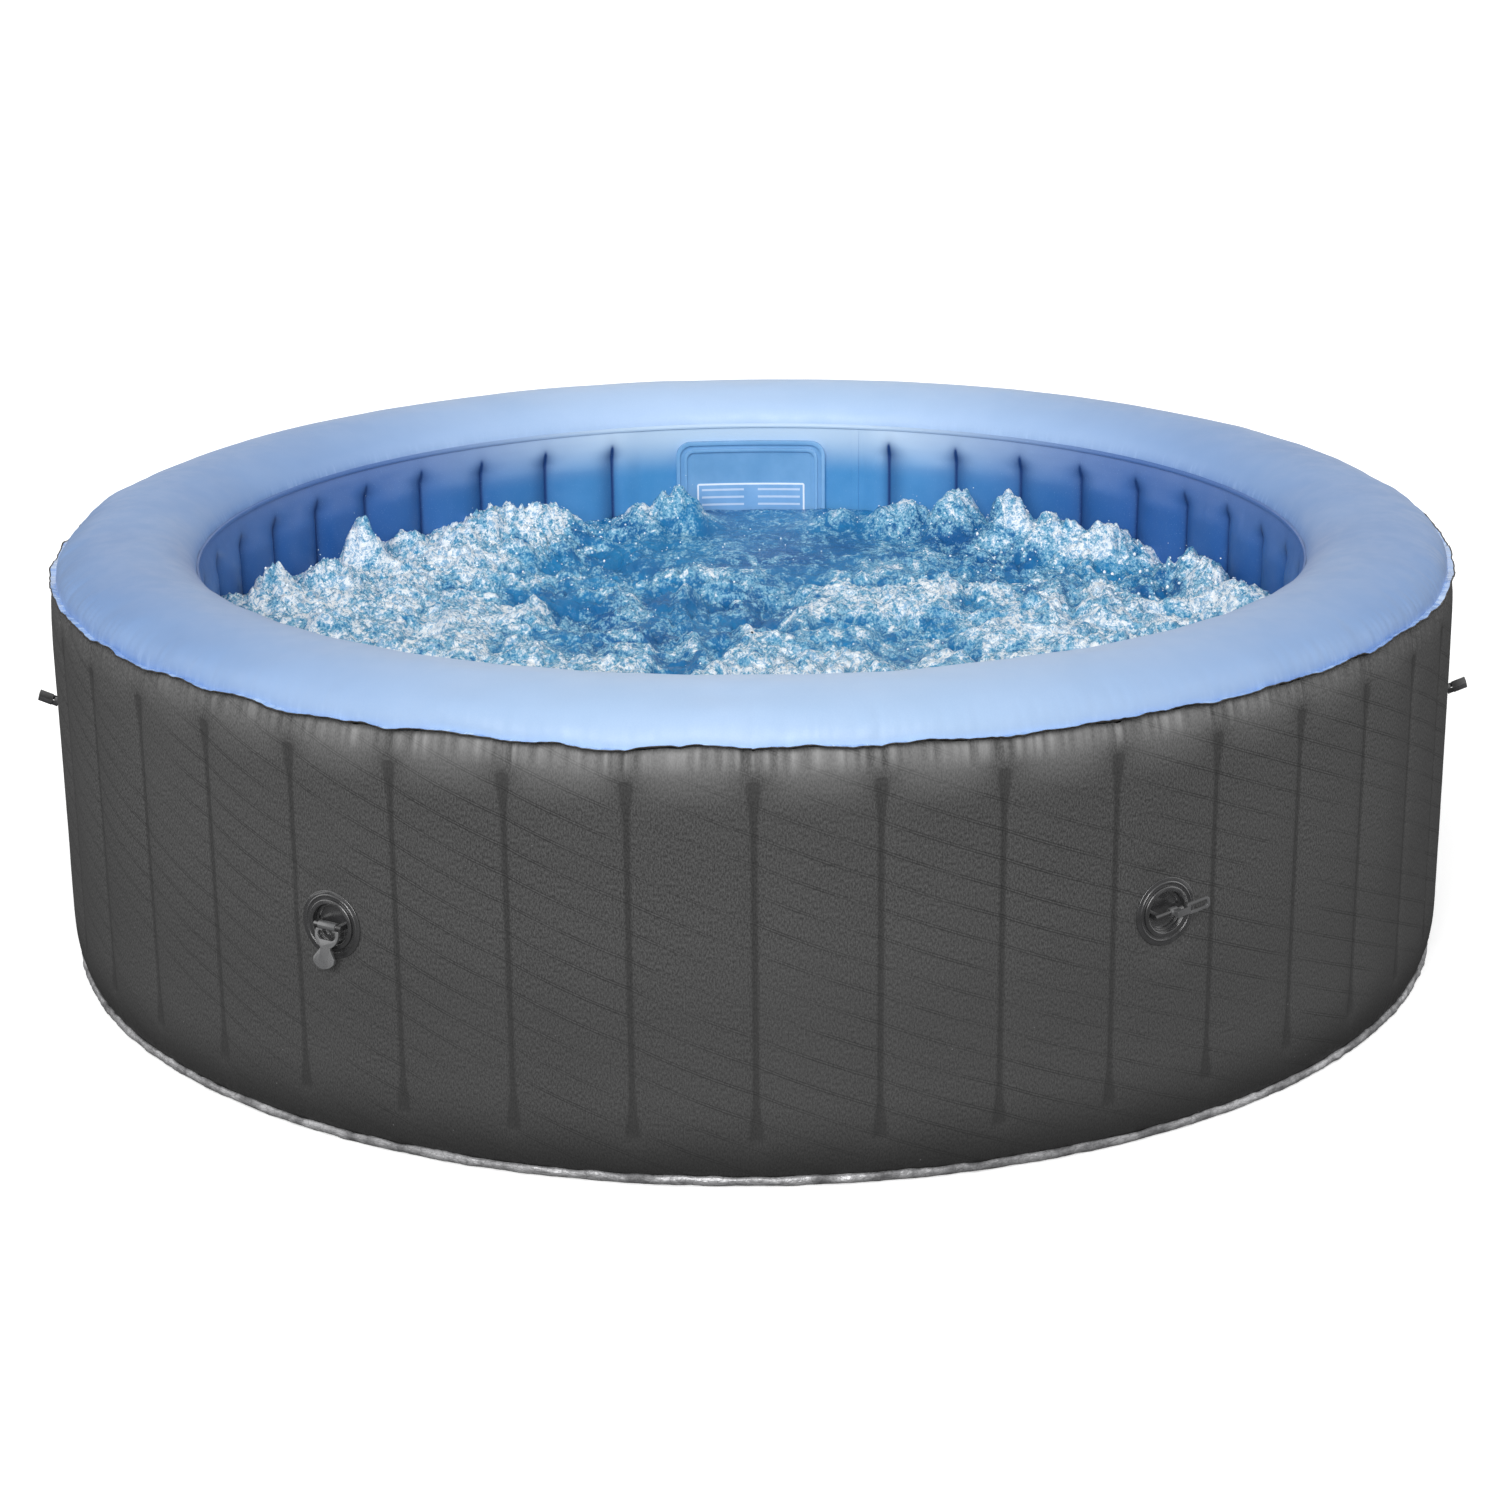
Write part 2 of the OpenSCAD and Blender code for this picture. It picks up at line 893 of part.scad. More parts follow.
// Section of a bent hose, at the bend's radius
module hose_section(bend, r_out, r_in) {
    translate([bend, 0])
        difference() {
            circle(r = r_out);
            circle(r = r_in);
        }
}

// Control board on four posts, with its relays and its transformer
module control_board() {
    board_x = unit_half_w - 11;
    color("darkgreen") {
        block([board_x, unit_y0 + 18, 100], [board_x + 2, unit_y0 + 148, 230]);
        for (y = [26, 140], z = [108, 222])
            translate([0, unit_y0 + y, z])
                rod_x(3, board_x + 2 - eps, unit_half_w - unit_t);
        for (i = [0:2])
            block([board_x - 14, unit_y0 + 84, 110 + i * 22], [board_x + eps, unit_y0 + 102, 126 + i * 22]);
        block([board_x - 28, unit_y0 + 108, 180], [board_x + eps, unit_y0 + 140, 215]);
    }
}

// Louvred service cover that follows the wall
module rear_cover() {
    color("dimgray")
        difference() {
            intersection() {
                ring(wall_r, tub_r, 0, tub_h);
                slab(290, 430, 20, wall_r - 60, tub_r + 10, 280);
            }
            for (i = [0:9])
                block([-90, wall_r - 60, 330 + i * 12], [90, tub_r + 10, 335 + i * 12]);
            rear_screw_places()
                rod_y(2.4, wall_r - 60, tub_r + 10);
            translate([105, 0, 115])
                rod_y(8.2, wall_r - 60, tub_r + 10);
        }
}

// Four screws that hold the rear cover
module rear_cover_screws() {
    head_y = tub_r - 7.6;
    color("silver")
        rear_screw_places() {
            rod_y(2, unit_y1 - 5, head_y + eps);
            rod_y(4.5, head_y, head_y + 3);
        }
}

// Hollow gland for the mains lead
module cable_gland() {
    color("black")
        translate([105, 0, 115])
            difference() {
                union() {
                    rod_y(8, tub_r - 26, tub_r - 1);
                    translate([0, tub_r - 4, 0])
                        rotate([-90, 0, 0])
                            cylinder(r = 12, h = 4, $fn = 6);
                    translate([0, tub_r - 18, 0])
                        rotate([-90, 0, 0])
                            cylinder(r = 11, h = 6, $fn = 6);
                }
                rod_y(4, tub_r - 27, tub_r + 1);
            }
}

// ---- drain ----

// Drain pipe through both walls, with a flange on each and an outer spout
module drain_pipe() {
    color("whitesmoke")
        difference() {
            union() {
                pipe(22, 0, basin_r - 3.5, basin_r - 0.4);
                pipe(12, 0, basin_r - 3.5, wall_r + 2);
                pipe(24, 0, wall_r, wall_r + 2);
                pipe(15, 0, wall_r + 1, wall_r + 17);
            }
            pipe(9.5, 0, basin_r - 5, wall_r + 18);
        }
}

// Pull-out plug on the basin side
module drain_plug() {
    color("royalblue")
        difference() {
            union() {
                pipe(9.42, 0, basin_r - 4, basin_r + 16);
                pipe(14, 0, basin_r - 8, basin_r - 3.7);
                translate([0, 0, basin_r - 14])
                    rod_y(9, -2, 2);
            }
            translate([0, 0, basin_r - 15])
                rod_y(5, -3, 3);
        }
}

// Flat gasket inside the drain cap
module drain_gasket() {
    color("black")
        pipe(14.6, 10, wall_r + 17.2, wall_r + 19);
}

// Ribbed screw cap on the spout
module drain_cap() {
    color("royalblue")
        difference() {
            union() {
                pipe(18, 0, wall_r + 4, wall_r + 23);
                for (i = [0:11])
                    rotate([0, 0, i * 30])
                        translate([17.6, 0, 0])
                            pipe(1.4, 0, wall_r + 5, wall_r + 22);
            }
            pipe(15.3, 0, wall_r + 3, wall_r + 19.2);
        }
}

ground_mat();
wall_base();
floor_liner();
outer_wall();
inner_wall();
top_tube();
rim_weld_flange();
basin_seam_bead();
wall_beams();
inner_joint_strip();
bubble_ring();
equipment_panel();
notice_plate();
filter_socket();
filter_cartridge();
filter_cover();
return_fitting();
at_wall(-left_valve_az, left_valve_z) valve_flange();  // left_valve_flange
at_wall(-left_valve_az, left_valve_z) valve_body();  // left_valve_body
at_wall(-left_valve_az, left_valve_z) valve_stem();  // left_valve_stem
at_wall(-left_valve_az, left_valve_z) valve_spring();  // left_valve_spring
at_wall(-left_valve_az, left_valve_z) cap_seal();  // left_cap_seal
at_wall(-left_valve_az, left_valve_z) valve_cap();  // left_valve_cap
at_wall(-left_valve_az, left_valve_z) hanging_tab();  // left_pull_tab
at_wall(right_valve_az, right_valve_z) valve_flange();  // right_valve_flange
at_wall(right_valve_az, right_valve_z) valve_body();  // right_valve_body
at_wall(right_valve_az, right_valve_z) valve_stem();  // right_valve_stem
at_wall(right_valve_az, right_valve_z) valve_spring();  // right_valve_spring
at_wall(right_valve_az, right_valve_z) cap_seal();  // right_cap_seal
at_wall(right_valve_az, right_valve_z) rotate([0, 0, right_cap_turn]) valve_cap();  // right_valve_cap
at_wall(right_valve_az, right_valve_z) rotate([0, 0, right_cap_turn]) bent_tab();  // right_pull_tab
at_wall(-clip_az, clip_z) clip_patch();  // left_clip_patch
at_wall(-clip_az, clip_z) clip_strap();  // left_clip_strap
at_wall(-clip_az, clip_z) clip_buckle();  // left_clip_buckle
at_wall(clip_az, clip_z) clip_patch();  // right_clip_patch
at_wall(clip_az, clip_z) clip_strap();  // right_clip_strap
at_wall(clip_az, clip_z) clip_buckle();  // right_clip_buckle
unit_case();
suction_hose();
pump_housing();
pump_impeller();
pump_motor();
pressure_hose();
heater_tube();
heater_element();
return_hose();
blower_housing();
blower_fan();
blower_motor();
check_valve();
check_flap();
air_hose();
control_board();
rear_cover();
rear_cover_screws();
cable_gland();
at_wall(drain_az, drain_z) drain_pipe();
at_wall(drain_az, drain_z) drain_plug();
at_wall(drain_az, drain_z) drain_gasket();
at_wall(drain_az, drain_z) drain_cap();
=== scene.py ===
"""Looks of a round inflatable hot tub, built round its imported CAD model.

Everything is in metres, in the CAD frame: +Z up, the front towards -Y, the origin on the ground
under the middle of the tub. The azimuth of a point is measured from the front, positive to +X.
"""

import json
import math

import bmesh
import bpy
import numpy as np
from mathutils import Euler, Matrix, Vector


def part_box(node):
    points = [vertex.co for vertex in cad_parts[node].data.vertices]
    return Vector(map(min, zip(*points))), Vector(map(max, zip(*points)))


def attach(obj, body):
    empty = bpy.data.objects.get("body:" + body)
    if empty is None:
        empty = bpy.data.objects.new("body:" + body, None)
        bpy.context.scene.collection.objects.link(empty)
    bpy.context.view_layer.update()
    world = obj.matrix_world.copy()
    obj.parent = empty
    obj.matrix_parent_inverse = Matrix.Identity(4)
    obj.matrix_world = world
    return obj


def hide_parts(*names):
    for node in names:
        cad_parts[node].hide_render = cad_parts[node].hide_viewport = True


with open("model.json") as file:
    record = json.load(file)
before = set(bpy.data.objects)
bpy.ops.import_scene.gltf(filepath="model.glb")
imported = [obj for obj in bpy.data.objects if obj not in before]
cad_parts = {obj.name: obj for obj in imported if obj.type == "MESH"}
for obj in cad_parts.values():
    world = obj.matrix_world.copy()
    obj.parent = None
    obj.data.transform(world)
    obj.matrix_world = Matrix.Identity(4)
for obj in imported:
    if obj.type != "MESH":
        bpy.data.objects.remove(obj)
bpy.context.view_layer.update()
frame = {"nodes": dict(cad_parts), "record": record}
NODES = frame["nodes"]

# ---- sizes, read from the CAD model where it holds them ----

MM = 0.001
WELD_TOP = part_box("rim_weld_flange")[1]
SEAM_LOW, SEAM_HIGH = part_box("basin_seam_bead")
WALL_LOW, WALL_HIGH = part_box("outer_wall")
WALL_R = WALL_HIGH.x
WELD_Z = WELD_TOP.z - 2 * MM
SEAM_R = SEAM_HIGH.x
SEAM_Z = (SEAM_LOW.z + SEAM_HIGH.z) / 2
BEAM_COUNT = 42
PITCH = 2 * math.pi / BEAM_COUNT

# Crest of the rim tube
CREST_R, CREST_Z = 0.908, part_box("top_tube")[1].z

# Thickness of the mat, and the foot of the outer wall, which curls in over it
MAT_T = WALL_LOW.z
FOOT_R = WALL_R - 17 * MM
FOOT_H = 60 * MM

# The rim's welded edge sticks out between these radii
EDGE_IN_R = WALL_R - 9 * MM
EDGE_OUT_R = WELD_TOP.x - 1 * MM

# Outer wall: how far its panels swell, between which heights the welded creases run, half their width
# along the line and at its two ends, and how far down from the weld the gathers reach
PANEL_SWELL = 3 * MM
OUTER_BULGE = 4 * MM
CREASE_LOW, CREASE_HIGH = 0.068, 0.522
CREASE_HALF = 3.5 * MM
CREASE_END_HALF = 8.5 * MM
GATHER_H = 44 * MM

# Basin wall: how far its lobes stand into the basin, how high their creases run, and half the width of
# the flat behind the equipment panel
INNER_BULGE = 15 * MM
INNER_CREASE_TOP = 0.541
INNER_FLAT_HALF = 1.55 * PITCH

# Water: its mean level, the depth of the layer that is modelled, its radius, the radius where its mesh
# begins at the middle, and the middle of the calm patch at the panel
WATER_Z = 0.415
WATER_DEPTH = 40 * MM
WATER_R = SEAM_R - 8 * MM
WATER_CORE_R = 2 * MM
CALM_X, CALM_Y = 0.05, 0.66

# Fittings on the walls: azimuth and height, the radius of the skin's flat behind each and of its hole,
# and how far from the tub's axis the flats lie
VALVES = ((math.radians(-31.1), 0.298), (math.radians(30), 0.309))
VALVE_FLAT_R, VALVE_HOLE_R = 47 * MM, 31.5 * MM
CLIP_AZ, CLIP_Z, CLIP_FLAT_R = math.radians(81.43), 0.371, 36 * MM
DRAIN_AZ, DRAIN_Z = math.radians(150), 0.070
DRAIN_FLAT_R, DRAIN_HOLE_R = 20 * MM, 12.5 * MM
FILTER_Z, FILTER_HOLE_R = 0.165, 22.6 * MM
FLAT_FROM_AXIS = WALL_R - 0.3 * MM

# Opening in the outer wall behind the rear cover: half its width, and its lowest and highest point
REAR_WINDOW = (0.122, 0.093, 0.467)


# ---- smooth random fields ----

def smoothstep(low, high, x):
    """A smooth step from 0 at low to 1 at high; low may be the larger of the two."""
    t = np.clip((x - low) / (high - low), 0, 1)
    return t * t * (3 - 2 * t)


def value_noise(x, y, z, seed):
    """Smooth random values from 0 to 1, with one cell a unit."""
    x, y, z = np.broadcast_arrays(x, y, z)
    cells = [np.floor(v).astype(np.int64) for v in (x, y, z)]
    parts = [v - c for v, c in zip((x, y, z), cells)]
    parts = [t * t * (3 - 2 * t) for t in parts]
    total = np.zeros(x.shape)
    for corner in range(8):
        key = np.full(x.shape, 7919 * (seed + 1), np.int64)
        weight = np.ones(x.shape)
        for axis, (c, t) in enumerate(zip(cells, parts)):
            step = corner >> axis & 1
            key = (key ^ ((c + step) * (73856093, 19349663, 83492791)[axis])) & 0xFFFFFFFF
            key = (key * 1274126177) & 0xFFFFFFFF
            key ^= key >> 15
            weight = weight * (t if step else 1 - t)
        total += weight * (key & 0xFFFF) / 65535
    return total


def fbm(x, y, z, seed, octaves):
    """Layered noise round 0, about -0.5 to 0.5."""
    total, weight, scale = 0, 0.5, 1
    for octave in range(octaves):
        total = total + weight * (value_noise(x * scale, y * scale, z * scale, seed + octave) - 0.5)
        weight, scale = weight * 0.5, scale * 2.03
    return total * 1.6


def ridged(x, y, z, seed, octaves):
    """Layered noise from 0 to 1 with sharp crests, as on crumpled foil."""
    total, weight, scale, full = 0, 1.0, 1, 0
    for octave in range(octaves):
        n = 1 - np.abs(2 * value_noise(x * scale, y * scale, z * scale, seed + octave) - 1)
        total = total + weight * n * n
        full += weight
        weight, scale = weight * 0.5, scale * 2.1
    return total / full


def billow(x, y, z, seed, octaves):
    """Layered noise from 0 to 1 made of round heads with sharp valleys, as on foam."""
    total, weight, scale, full = 0, 1.0, 1, 0
    for octave in range(octaves):
        n = np.abs(2 * value_noise(x * scale, y * scale, z * scale, seed + octave) - 1)
        total = total + weight * n
        full += weight
        weight, scale = weight * 0.55, scale * 2.1
    return total / full


def round_fbm(az, scale, z, seed, octaves):
    """Layered noise that closes on itself round the tub."""
    return fbm(np.cos(az) * scale, np.sin(az) * scale, z, seed, octaves)


# ---- meshes ----

def round_point(r, az, z):
    """Points at radius r, azimuth az and height z."""
    r, az, z = np.broadcast_arrays(r, az, z)
    return np.stack([r * np.sin(az), -r * np.cos(az), z], axis=-1)


def make_object(name, verts, faces, smooth=True):
    """A mesh object from arrays of points and of faces with equal numbers of corners. Points that no
    face uses are left out; the second result says which are kept."""
    used, index = np.unique(faces, return_inverse=True)
    faces = index.reshape(faces.shape)
    mesh = bpy.data.meshes.new(name)
    mesh.vertices.add(len(used))
    mesh.vertices.foreach_set("co", verts[used].astype(np.float32).ravel())
    mesh.loops.add(faces.size)
    mesh.loops.foreach_set("vertex_index", faces.astype(np.int32).ravel())
    mesh.polygons.add(len(faces))
    mesh.polygons.foreach_set("loop_start", np.arange(0, faces.size, faces.shape[1], dtype=np.int32))
    mesh.polygons.foreach_set("use_smooth", np.full(len(faces), smooth))
    mesh.update(calc_edges=True)
    mesh.validate()
    obj = bpy.data.objects.new(name, mesh)
    bpy.context.scene.collection.objects.link(obj)
    return obj, used


def grid_object(name, points, wrap, flip=False, drop=None, fields=None):
    """A mesh over points[i, j]. i runs round the tub and may close on itself; drop marks points to cut
    away, and fields are values per point kept as attributes for the materials."""
    n, m = points.shape[:2]
    i = np.arange(n if wrap else n - 1)[:, None]
    j = np.arange(m - 1)[None, :]
    low, high = i * m + j, (i + 1) % n * m + j
    quads = np.stack([low, high, high + 1, low + 1], axis=-1).reshape(-1, 4)
    if flip:
        quads = quads[:, ::-1]
    if drop is not None:
        quads = quads[~drop.reshape(-1)[quads].any(axis=1)]
    obj, used = make_object(name, points.reshape(-1, 3), quads)
    for field, values in (fields or {}).items():
        layer = obj.data.attributes.new(field, "FLOAT", "POINT")
        layer.data.foreach_set("value", values.reshape(-1)[used].astype(np.float32))
    return obj


def crease_azimuths(per_pitch):
    """Azimuths from the back round to the back, close together beside each crease."""
    t = np.linspace(-1, 1, per_pitch, endpoint=False)
    offset = np.sign(t) * np.abs(t) ** 1.6 * PITCH / 2
    centres = (np.arange(BEAM_COUNT) - BEAM_COUNT // 2) * PITCH
    return np.append((centres[:, None] + offset).ravel(), math.pi - PITCH / 2)


def crease_offset(az):
    """Signed angle from the nearest crease."""
    return (az / PITCH + 0.5) % 1 * PITCH - PITCH / 2


def directions(az):
    """Unit vectors outwards and sideways at that azimuth."""
    return np.array([math.sin(az), -math.cos(az), 0]), np.array([math.cos(az), math.sin(az), 0])


def flatten_round(points, az, z, radius):
    """Moves points so that the skin lies flat behind a disc welded on at that azimuth and height."""
    out, side = directions(az)
    across, along, up = points @ side, points @ out, points[..., 2] - z
    distance = np.sqrt(across ** 2 + up ** 2)
    near = (1 - smoothstep(radius, radius * 1.7, distance)) * (along > 0)
    points += (near * (FLAT_FROM_AXIS - along))[..., None] * out


def inside_disc(points, az, z, radius):
    """Which points lie within a round hole at that azimuth and height."""
    out, side = directions(az)
    distance = np.hypot(points @ side, points[..., 2] - z)
    return (distance < radius) & (points @ out > 0)


# ---- the welded skins ----

def weld_wave(az):
    """How far the outer weld wanders up and down round the rim."""
    dip = np.abs(crease_offset(az)) / (PITCH / 2)
    swell = round_fbm(az, 11, 0, 31, 3)
    sharp = round_fbm(az, 34, 0, 35, 2)
    return (5.0 * (np.sqrt(dip) - 0.6) * (0.7 + swell) + 7.5 * swell + 2.2 * sharp) * MM


def pleats(az, seed):
    """Fine upright gathers beside the weld: noise, and a ripple whose phase wanders."""
    ripple = np.sin(az * WALL_R / (2.9 * MM) + 9 * round_fbm(az, 20, 0, seed + 7, 2))
    return round_fbm(az, 90, 0, seed, 3) + 0.30 * ripple


def outer_wall_section():
    """Radii and heights of the outer wall's rings, from its curled foot up to the weld."""
    foot = np.linspace(-math.pi / 2, 0, 13)
    foot_z = MAT_T + FOOT_H + FOOT_H * np.sin(foot)
    foot_r = FOOT_R + (WALL_R - FOOT_R) * np.cos(foot)
    middle = np.linspace(MAT_T + FOOT_H, WELD_Z - GATHER_H - 10 * MM, 62)[1:]
    top = np.linspace(middle[-1], WELD_Z - 1 * MM, 26)[1:]
    z = np.concatenate([foot_z, middle, top])
    r = np.concatenate([foot_r, np.full(len(middle) + len(top), WALL_R)])
    return r, z


def crease_edge(to_crease, z):
    """Distance outside a welded crease: a flat line that ends in a wider drop at both ends."""
    ends = np.exp(-((z - CREASE_LOW) / 0.03) ** 2) + np.exp(-((z - CREASE_HIGH) / 0.03) ** 2)
    half = CREASE_HALF + (CREASE_END_HALF - CREASE_HALF) * np.clip(ends, 0, 1)
    beyond = np.clip(np.maximum(CREASE_LOW - z, z - CREASE_HIGH), 0, None)
    return np.hypot(to_crease, beyond * 1.4) - half


def weld_shine(z, share, pleat):
    """Light caught below the weld: a soft glow between the creases, and streaks on the gathers."""
    under_weld = smoothstep(WELD_Z + 1 * MM, WELD_Z - 8 * MM, z)
    glow = smoothstep(WELD_Z - 85 * MM, WELD_Z - 12 * MM, z) * (1 - 0.75 * np.exp(-(share / 0.35) ** 2))
    streak = smoothstep(WELD_Z - 38 * MM, WELD_Z - 6 * MM, z) * np.clip(0.35 + 1.7 * pleat, 0, 1)
    return (0.17 * glow + 0.36 * streak) * under_weld


def flatten_outer_wall(points):
    """Lays the outer wall flat behind the valves, the cover clips and the drain."""
    for valve_az, valve_z in VALVES:
        flatten_round(points, valve_az, valve_z, VALVE_FLAT_R)
    for side in (-1, 1):
        flatten_round(points, side * CLIP_AZ, CLIP_Z, CLIP_FLAT_R)
    flatten_round(points, DRAIN_AZ, DRAIN_Z, DRAIN_FLAT_R)


def outer_wall_holes(points):
    """Which points lie in the holes for the drain and the valves, or in the rear window."""
    drop = inside_disc(points, DRAIN_AZ, DRAIN_Z, DRAIN_HOLE_R)
    for valve_az, valve_z in VALVES:
        drop |= inside_disc(points, valve_az, valve_z, VALVE_HOLE_R)
    half_w, low, high = REAR_WINDOW
    x, y, z = points[..., 0], points[..., 1], points[..., 2]
    return drop | (np.abs(x) < half_w) & (y > 0) & (z > low) & (z < high)


def outer_wall_skin():
    """Charcoal wall with its beam creases, pleated top and curled foot."""
    az = crease_azimuths(46)[:, None]
    r, z = (v[None, :] for v in outer_wall_section())
    back = smoothstep(3.6 * PITCH, 2.2 * PITCH, math.pi - np.abs(az))
    to_crease = np.abs(crease_offset(az)) * WALL_R
    edge = crease_edge(to_crease, z)
    crease = (1 - smoothstep(-2.2 * MM, 1.8 * MM, edge)) * (back < 0.5)
    shoulder = np.exp(-(np.clip(edge, 0, None) / (9 * MM)) ** 2) * (1 - back)

    share = to_crease / (PITCH / 2 * WALL_R)
    pulled = smoothstep(0.01, 0.1, z) * smoothstep(WELD_Z - 4 * MM, CREASE_HIGH - 30 * MM, z)
    bulge = (PANEL_SWELL - OUTER_BULGE * (1 - share) ** 2) * pulled * (1 - back)
    groove = -(0.5 * crease + 0.5 * shoulder) * MM

    weld_band = smoothstep(WELD_Z - GATHER_H, WELD_Z, z)
    rise = np.clip((z - (WELD_Z - GATHER_H)) / GATHER_H, 0, 1)
    turn_in = -(WALL_R - EDGE_IN_R) * rise ** 2.2
    pleat = pleats(az, 51) * smoothstep(-0.3, 0.3, pleats(az + 3, 90) + 0.2)
    folds = pleat * 4.5 * MM * weld_band
    uneven = round_fbm(az, 9, z * 9, 5, 3) * 2.4 * MM * smoothstep(0.01, 0.12, z) * share
    foot_wrinkle = pleats(az + 1, 71) * 1.2 * MM * (1 - smoothstep(0.012, 0.06, z))

    radius = r + bulge + groove + turn_in + folds + uneven * (1 - back) + foot_wrinkle
    height = z + weld_wave(az) * smoothstep(WELD_Z - 0.10, WELD_Z, z)
    points = round_point(radius, az, height)
    flatten_outer_wall(points)

    outline = np.exp(-(edge / (1.6 * MM)) ** 2) * (back < 0.5)
    mark = np.clip(0.85 * crease + 0.25 * outline, 0, 1)
    # Fields for the materials: the crease marks, and the painted highlight below the weld from weld_shine
    wall = grid_object("outer_wall_skin", points, wrap=False, drop=outer_wall_holes(points),
                       fields={"crease": mark, "weld_band": weld_shine(z, share, pleat)})
    finish_skin(wall, "wall_skin", "outer_wall")


def rim_tube():
    """Inflated rim tube, from the outer weld over the crest to the basin seam."""
    az = np.linspace(-math.pi, math.pi, 1600, endpoint=False)[:, None]
    outer = np.linspace(0, math.pi / 2, 34)
    inner = np.linspace(math.pi / 2, math.pi, 26)[1:]
    r = np.concatenate([CREST_R + (EDGE_IN_R - CREST_R) * np.cos(outer),
                        CREST_R + (CREST_R - SEAM_R) * np.cos(inner)])[None, :]
    z = np.concatenate([WELD_Z + (CREST_Z - WELD_Z) * np.sin(outer),
                        SEAM_Z + (CREST_Z - SEAM_Z) * np.sin(inner)])[None, :]
    beside_weld = smoothstep(CREST_R + 40 * MM, EDGE_IN_R, r)
    near_weld = smoothstep(EDGE_IN_R - 34 * MM, EDGE_IN_R, r)
    at_weld = smoothstep(EDGE_IN_R - 3 * MM, EDGE_IN_R, r)
    pucker = pleats(az, 61) * 1.5 * MM * near_weld * (1 - at_weld * 0.6)
    uneven = round_fbm(az, 5, r * 14, 12, 3) * 3.2 * MM
    uneven = uneven * smoothstep(SEAM_R, SEAM_R + 30 * MM, r) * smoothstep(EDGE_IN_R, EDGE_IN_R - 30 * MM, r)
    lobes = np.cos(az * BEAM_COUNT) * 0.8 * MM * smoothstep(CREST_R, SEAM_R + 20 * MM, r)
    points = round_point(r + lobes * 0.5, az, z + weld_wave(az) * beside_weld + pucker + uneven + lobes)
    tube = grid_object("rim_tube_skin", points, wrap=True)
    finish_skin(tube, "rim_skin", "top_tube")


def welded_edge():
    """Trimmed edge of the outer weld: a wavy strip with a dark backing, whose near-black colour is also
    painted shadow under the edge.
    """
    az = np.linspace(-math.pi, math.pi, 2400, endpoint=False)[:, None]
    ripple = pleats(az, 81)
    out_r = EDGE_OUT_R + (round_fbm(az, 26, 0, 44, 3) * 5 - 1.6) * MM
    tilt = (round_fbm(az, 17, 0, 48, 3) * 7 + 2.6) * MM
    share = np.linspace(0, 1, 7)[None, :]
    r = EDGE_IN_R - 3 * MM + (out_r - EDGE_IN_R + 3 * MM) * share
    sag = tilt * share ** 1.5 + ripple * 0.9 * MM * share
    base = WELD_Z + weld_wave(az)
    top = round_point(r, az, base + 0.9 * MM + sag)
    under = round_point(r - 0.2 * MM * share, az, base - 0.9 * MM + sag)
    points = np.concatenate([under, top[:, ::-1]], axis=1)
    strip = grid_object("rim_welded_edge", np.concatenate([points, points[:, :1]], axis=1), wrap=True)
    strip.data.materials.append(MATERIALS["weld_edge"])
    strip.data.materials.append(MATERIALS["weld_backing_and_shadow"])
    backing = np.arange(points.shape[1]) <= share.shape[1]
    strip.data.polygons.foreach_set("material_index", np.tile(backing, len(points)).astype(np.int32))
    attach(strip, "root")
    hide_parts("rim_weld_flange")


def basin_skin():
    """Quilted basin wall: lobes between the beams, flat behind the equipment panel."""
    az = crease_azimuths(40)[:, None]
    z = np.concatenate([np.linspace(MAT_T + 3 * MM, 0.06, 8), np.linspace(0.06, 0.46, 40)[1:],
                        np.linspace(0.46, SEAM_Z, 44)[1:]])[None, :]
    from_back = math.pi - np.abs(az)
    flat = 1 - smoothstep(INNER_FLAT_HALF, INNER_FLAT_HALF + 0.45 * PITCH, from_back)
    share = np.abs(crease_offset(az)) / (PITCH / 2)
    start = INNER_CREASE_TOP + fbm(np.round(az / PITCH) * 3.7, 0.5, 0.5, 17, 1) * 16 * MM
    depth = smoothstep(start, start - 30 * MM, z)
    lobe = INNER_BULGE * (0.45 + 0.55 * smoothstep(start, start - 46 * MM, z))
    crease = np.exp(-(share / 0.11) ** 2) * 0.25 + np.exp(-(share / 0.34) ** 2) * 0.35
    crease = crease + (1 - share) ** 1.8 * 0.4
    inward = lobe - (lobe + 1 * MM) * crease * depth
    above_floor = smoothstep(MAT_T + 10 * MM, 0.11, z)
    held = above_floor * smoothstep(SEAM_Z + 0.5 * MM, SEAM_Z - 34 * MM, z) ** 0.6
    uneven = round_fbm(az, 13, z * 14, 23, 3) * 2.4 * MM
    radius = SEAM_R - (inward + uneven) * held * (1 - flat)
    points = round_point(radius, az, z)
    drop = inside_disc(points, math.pi, FILTER_Z, FILTER_HOLE_R)
    drop |= inside_disc(points, DRAIN_AZ, DRAIN_Z, DRAIN_HOLE_R)

    # painted shade in the folds: a dark line, the lobe's shaded side, and a painted shadow at the pinch at
    # the top of the crease
    lee = smoothstep(-0.02, 0.02, -np.sign(az) * crease_offset(az))
    pinch = np.exp(-(share / 0.20) ** 2) * np.exp(-((z - start + 16 * MM) / (20 * MM)) ** 2)
    line = np.exp(-(share / 0.045) ** 2) * smoothstep(start, start - 12 * MM, z)
    shade = (0.16 + 0.50 * lee) * np.exp(-(share / 0.42) ** 2) * depth
    painted_fold_shade = (line + shade + 0.45 * pinch) * (1 - flat) * above_floor
    wall = grid_object("basin_wall_skin", points, wrap=False, flip=True, drop=drop,
                       fields={"crease": painted_fold_shade * np.ones_like(radius)})
    finish_skin(wall, "basin_skin", "inner_wall")


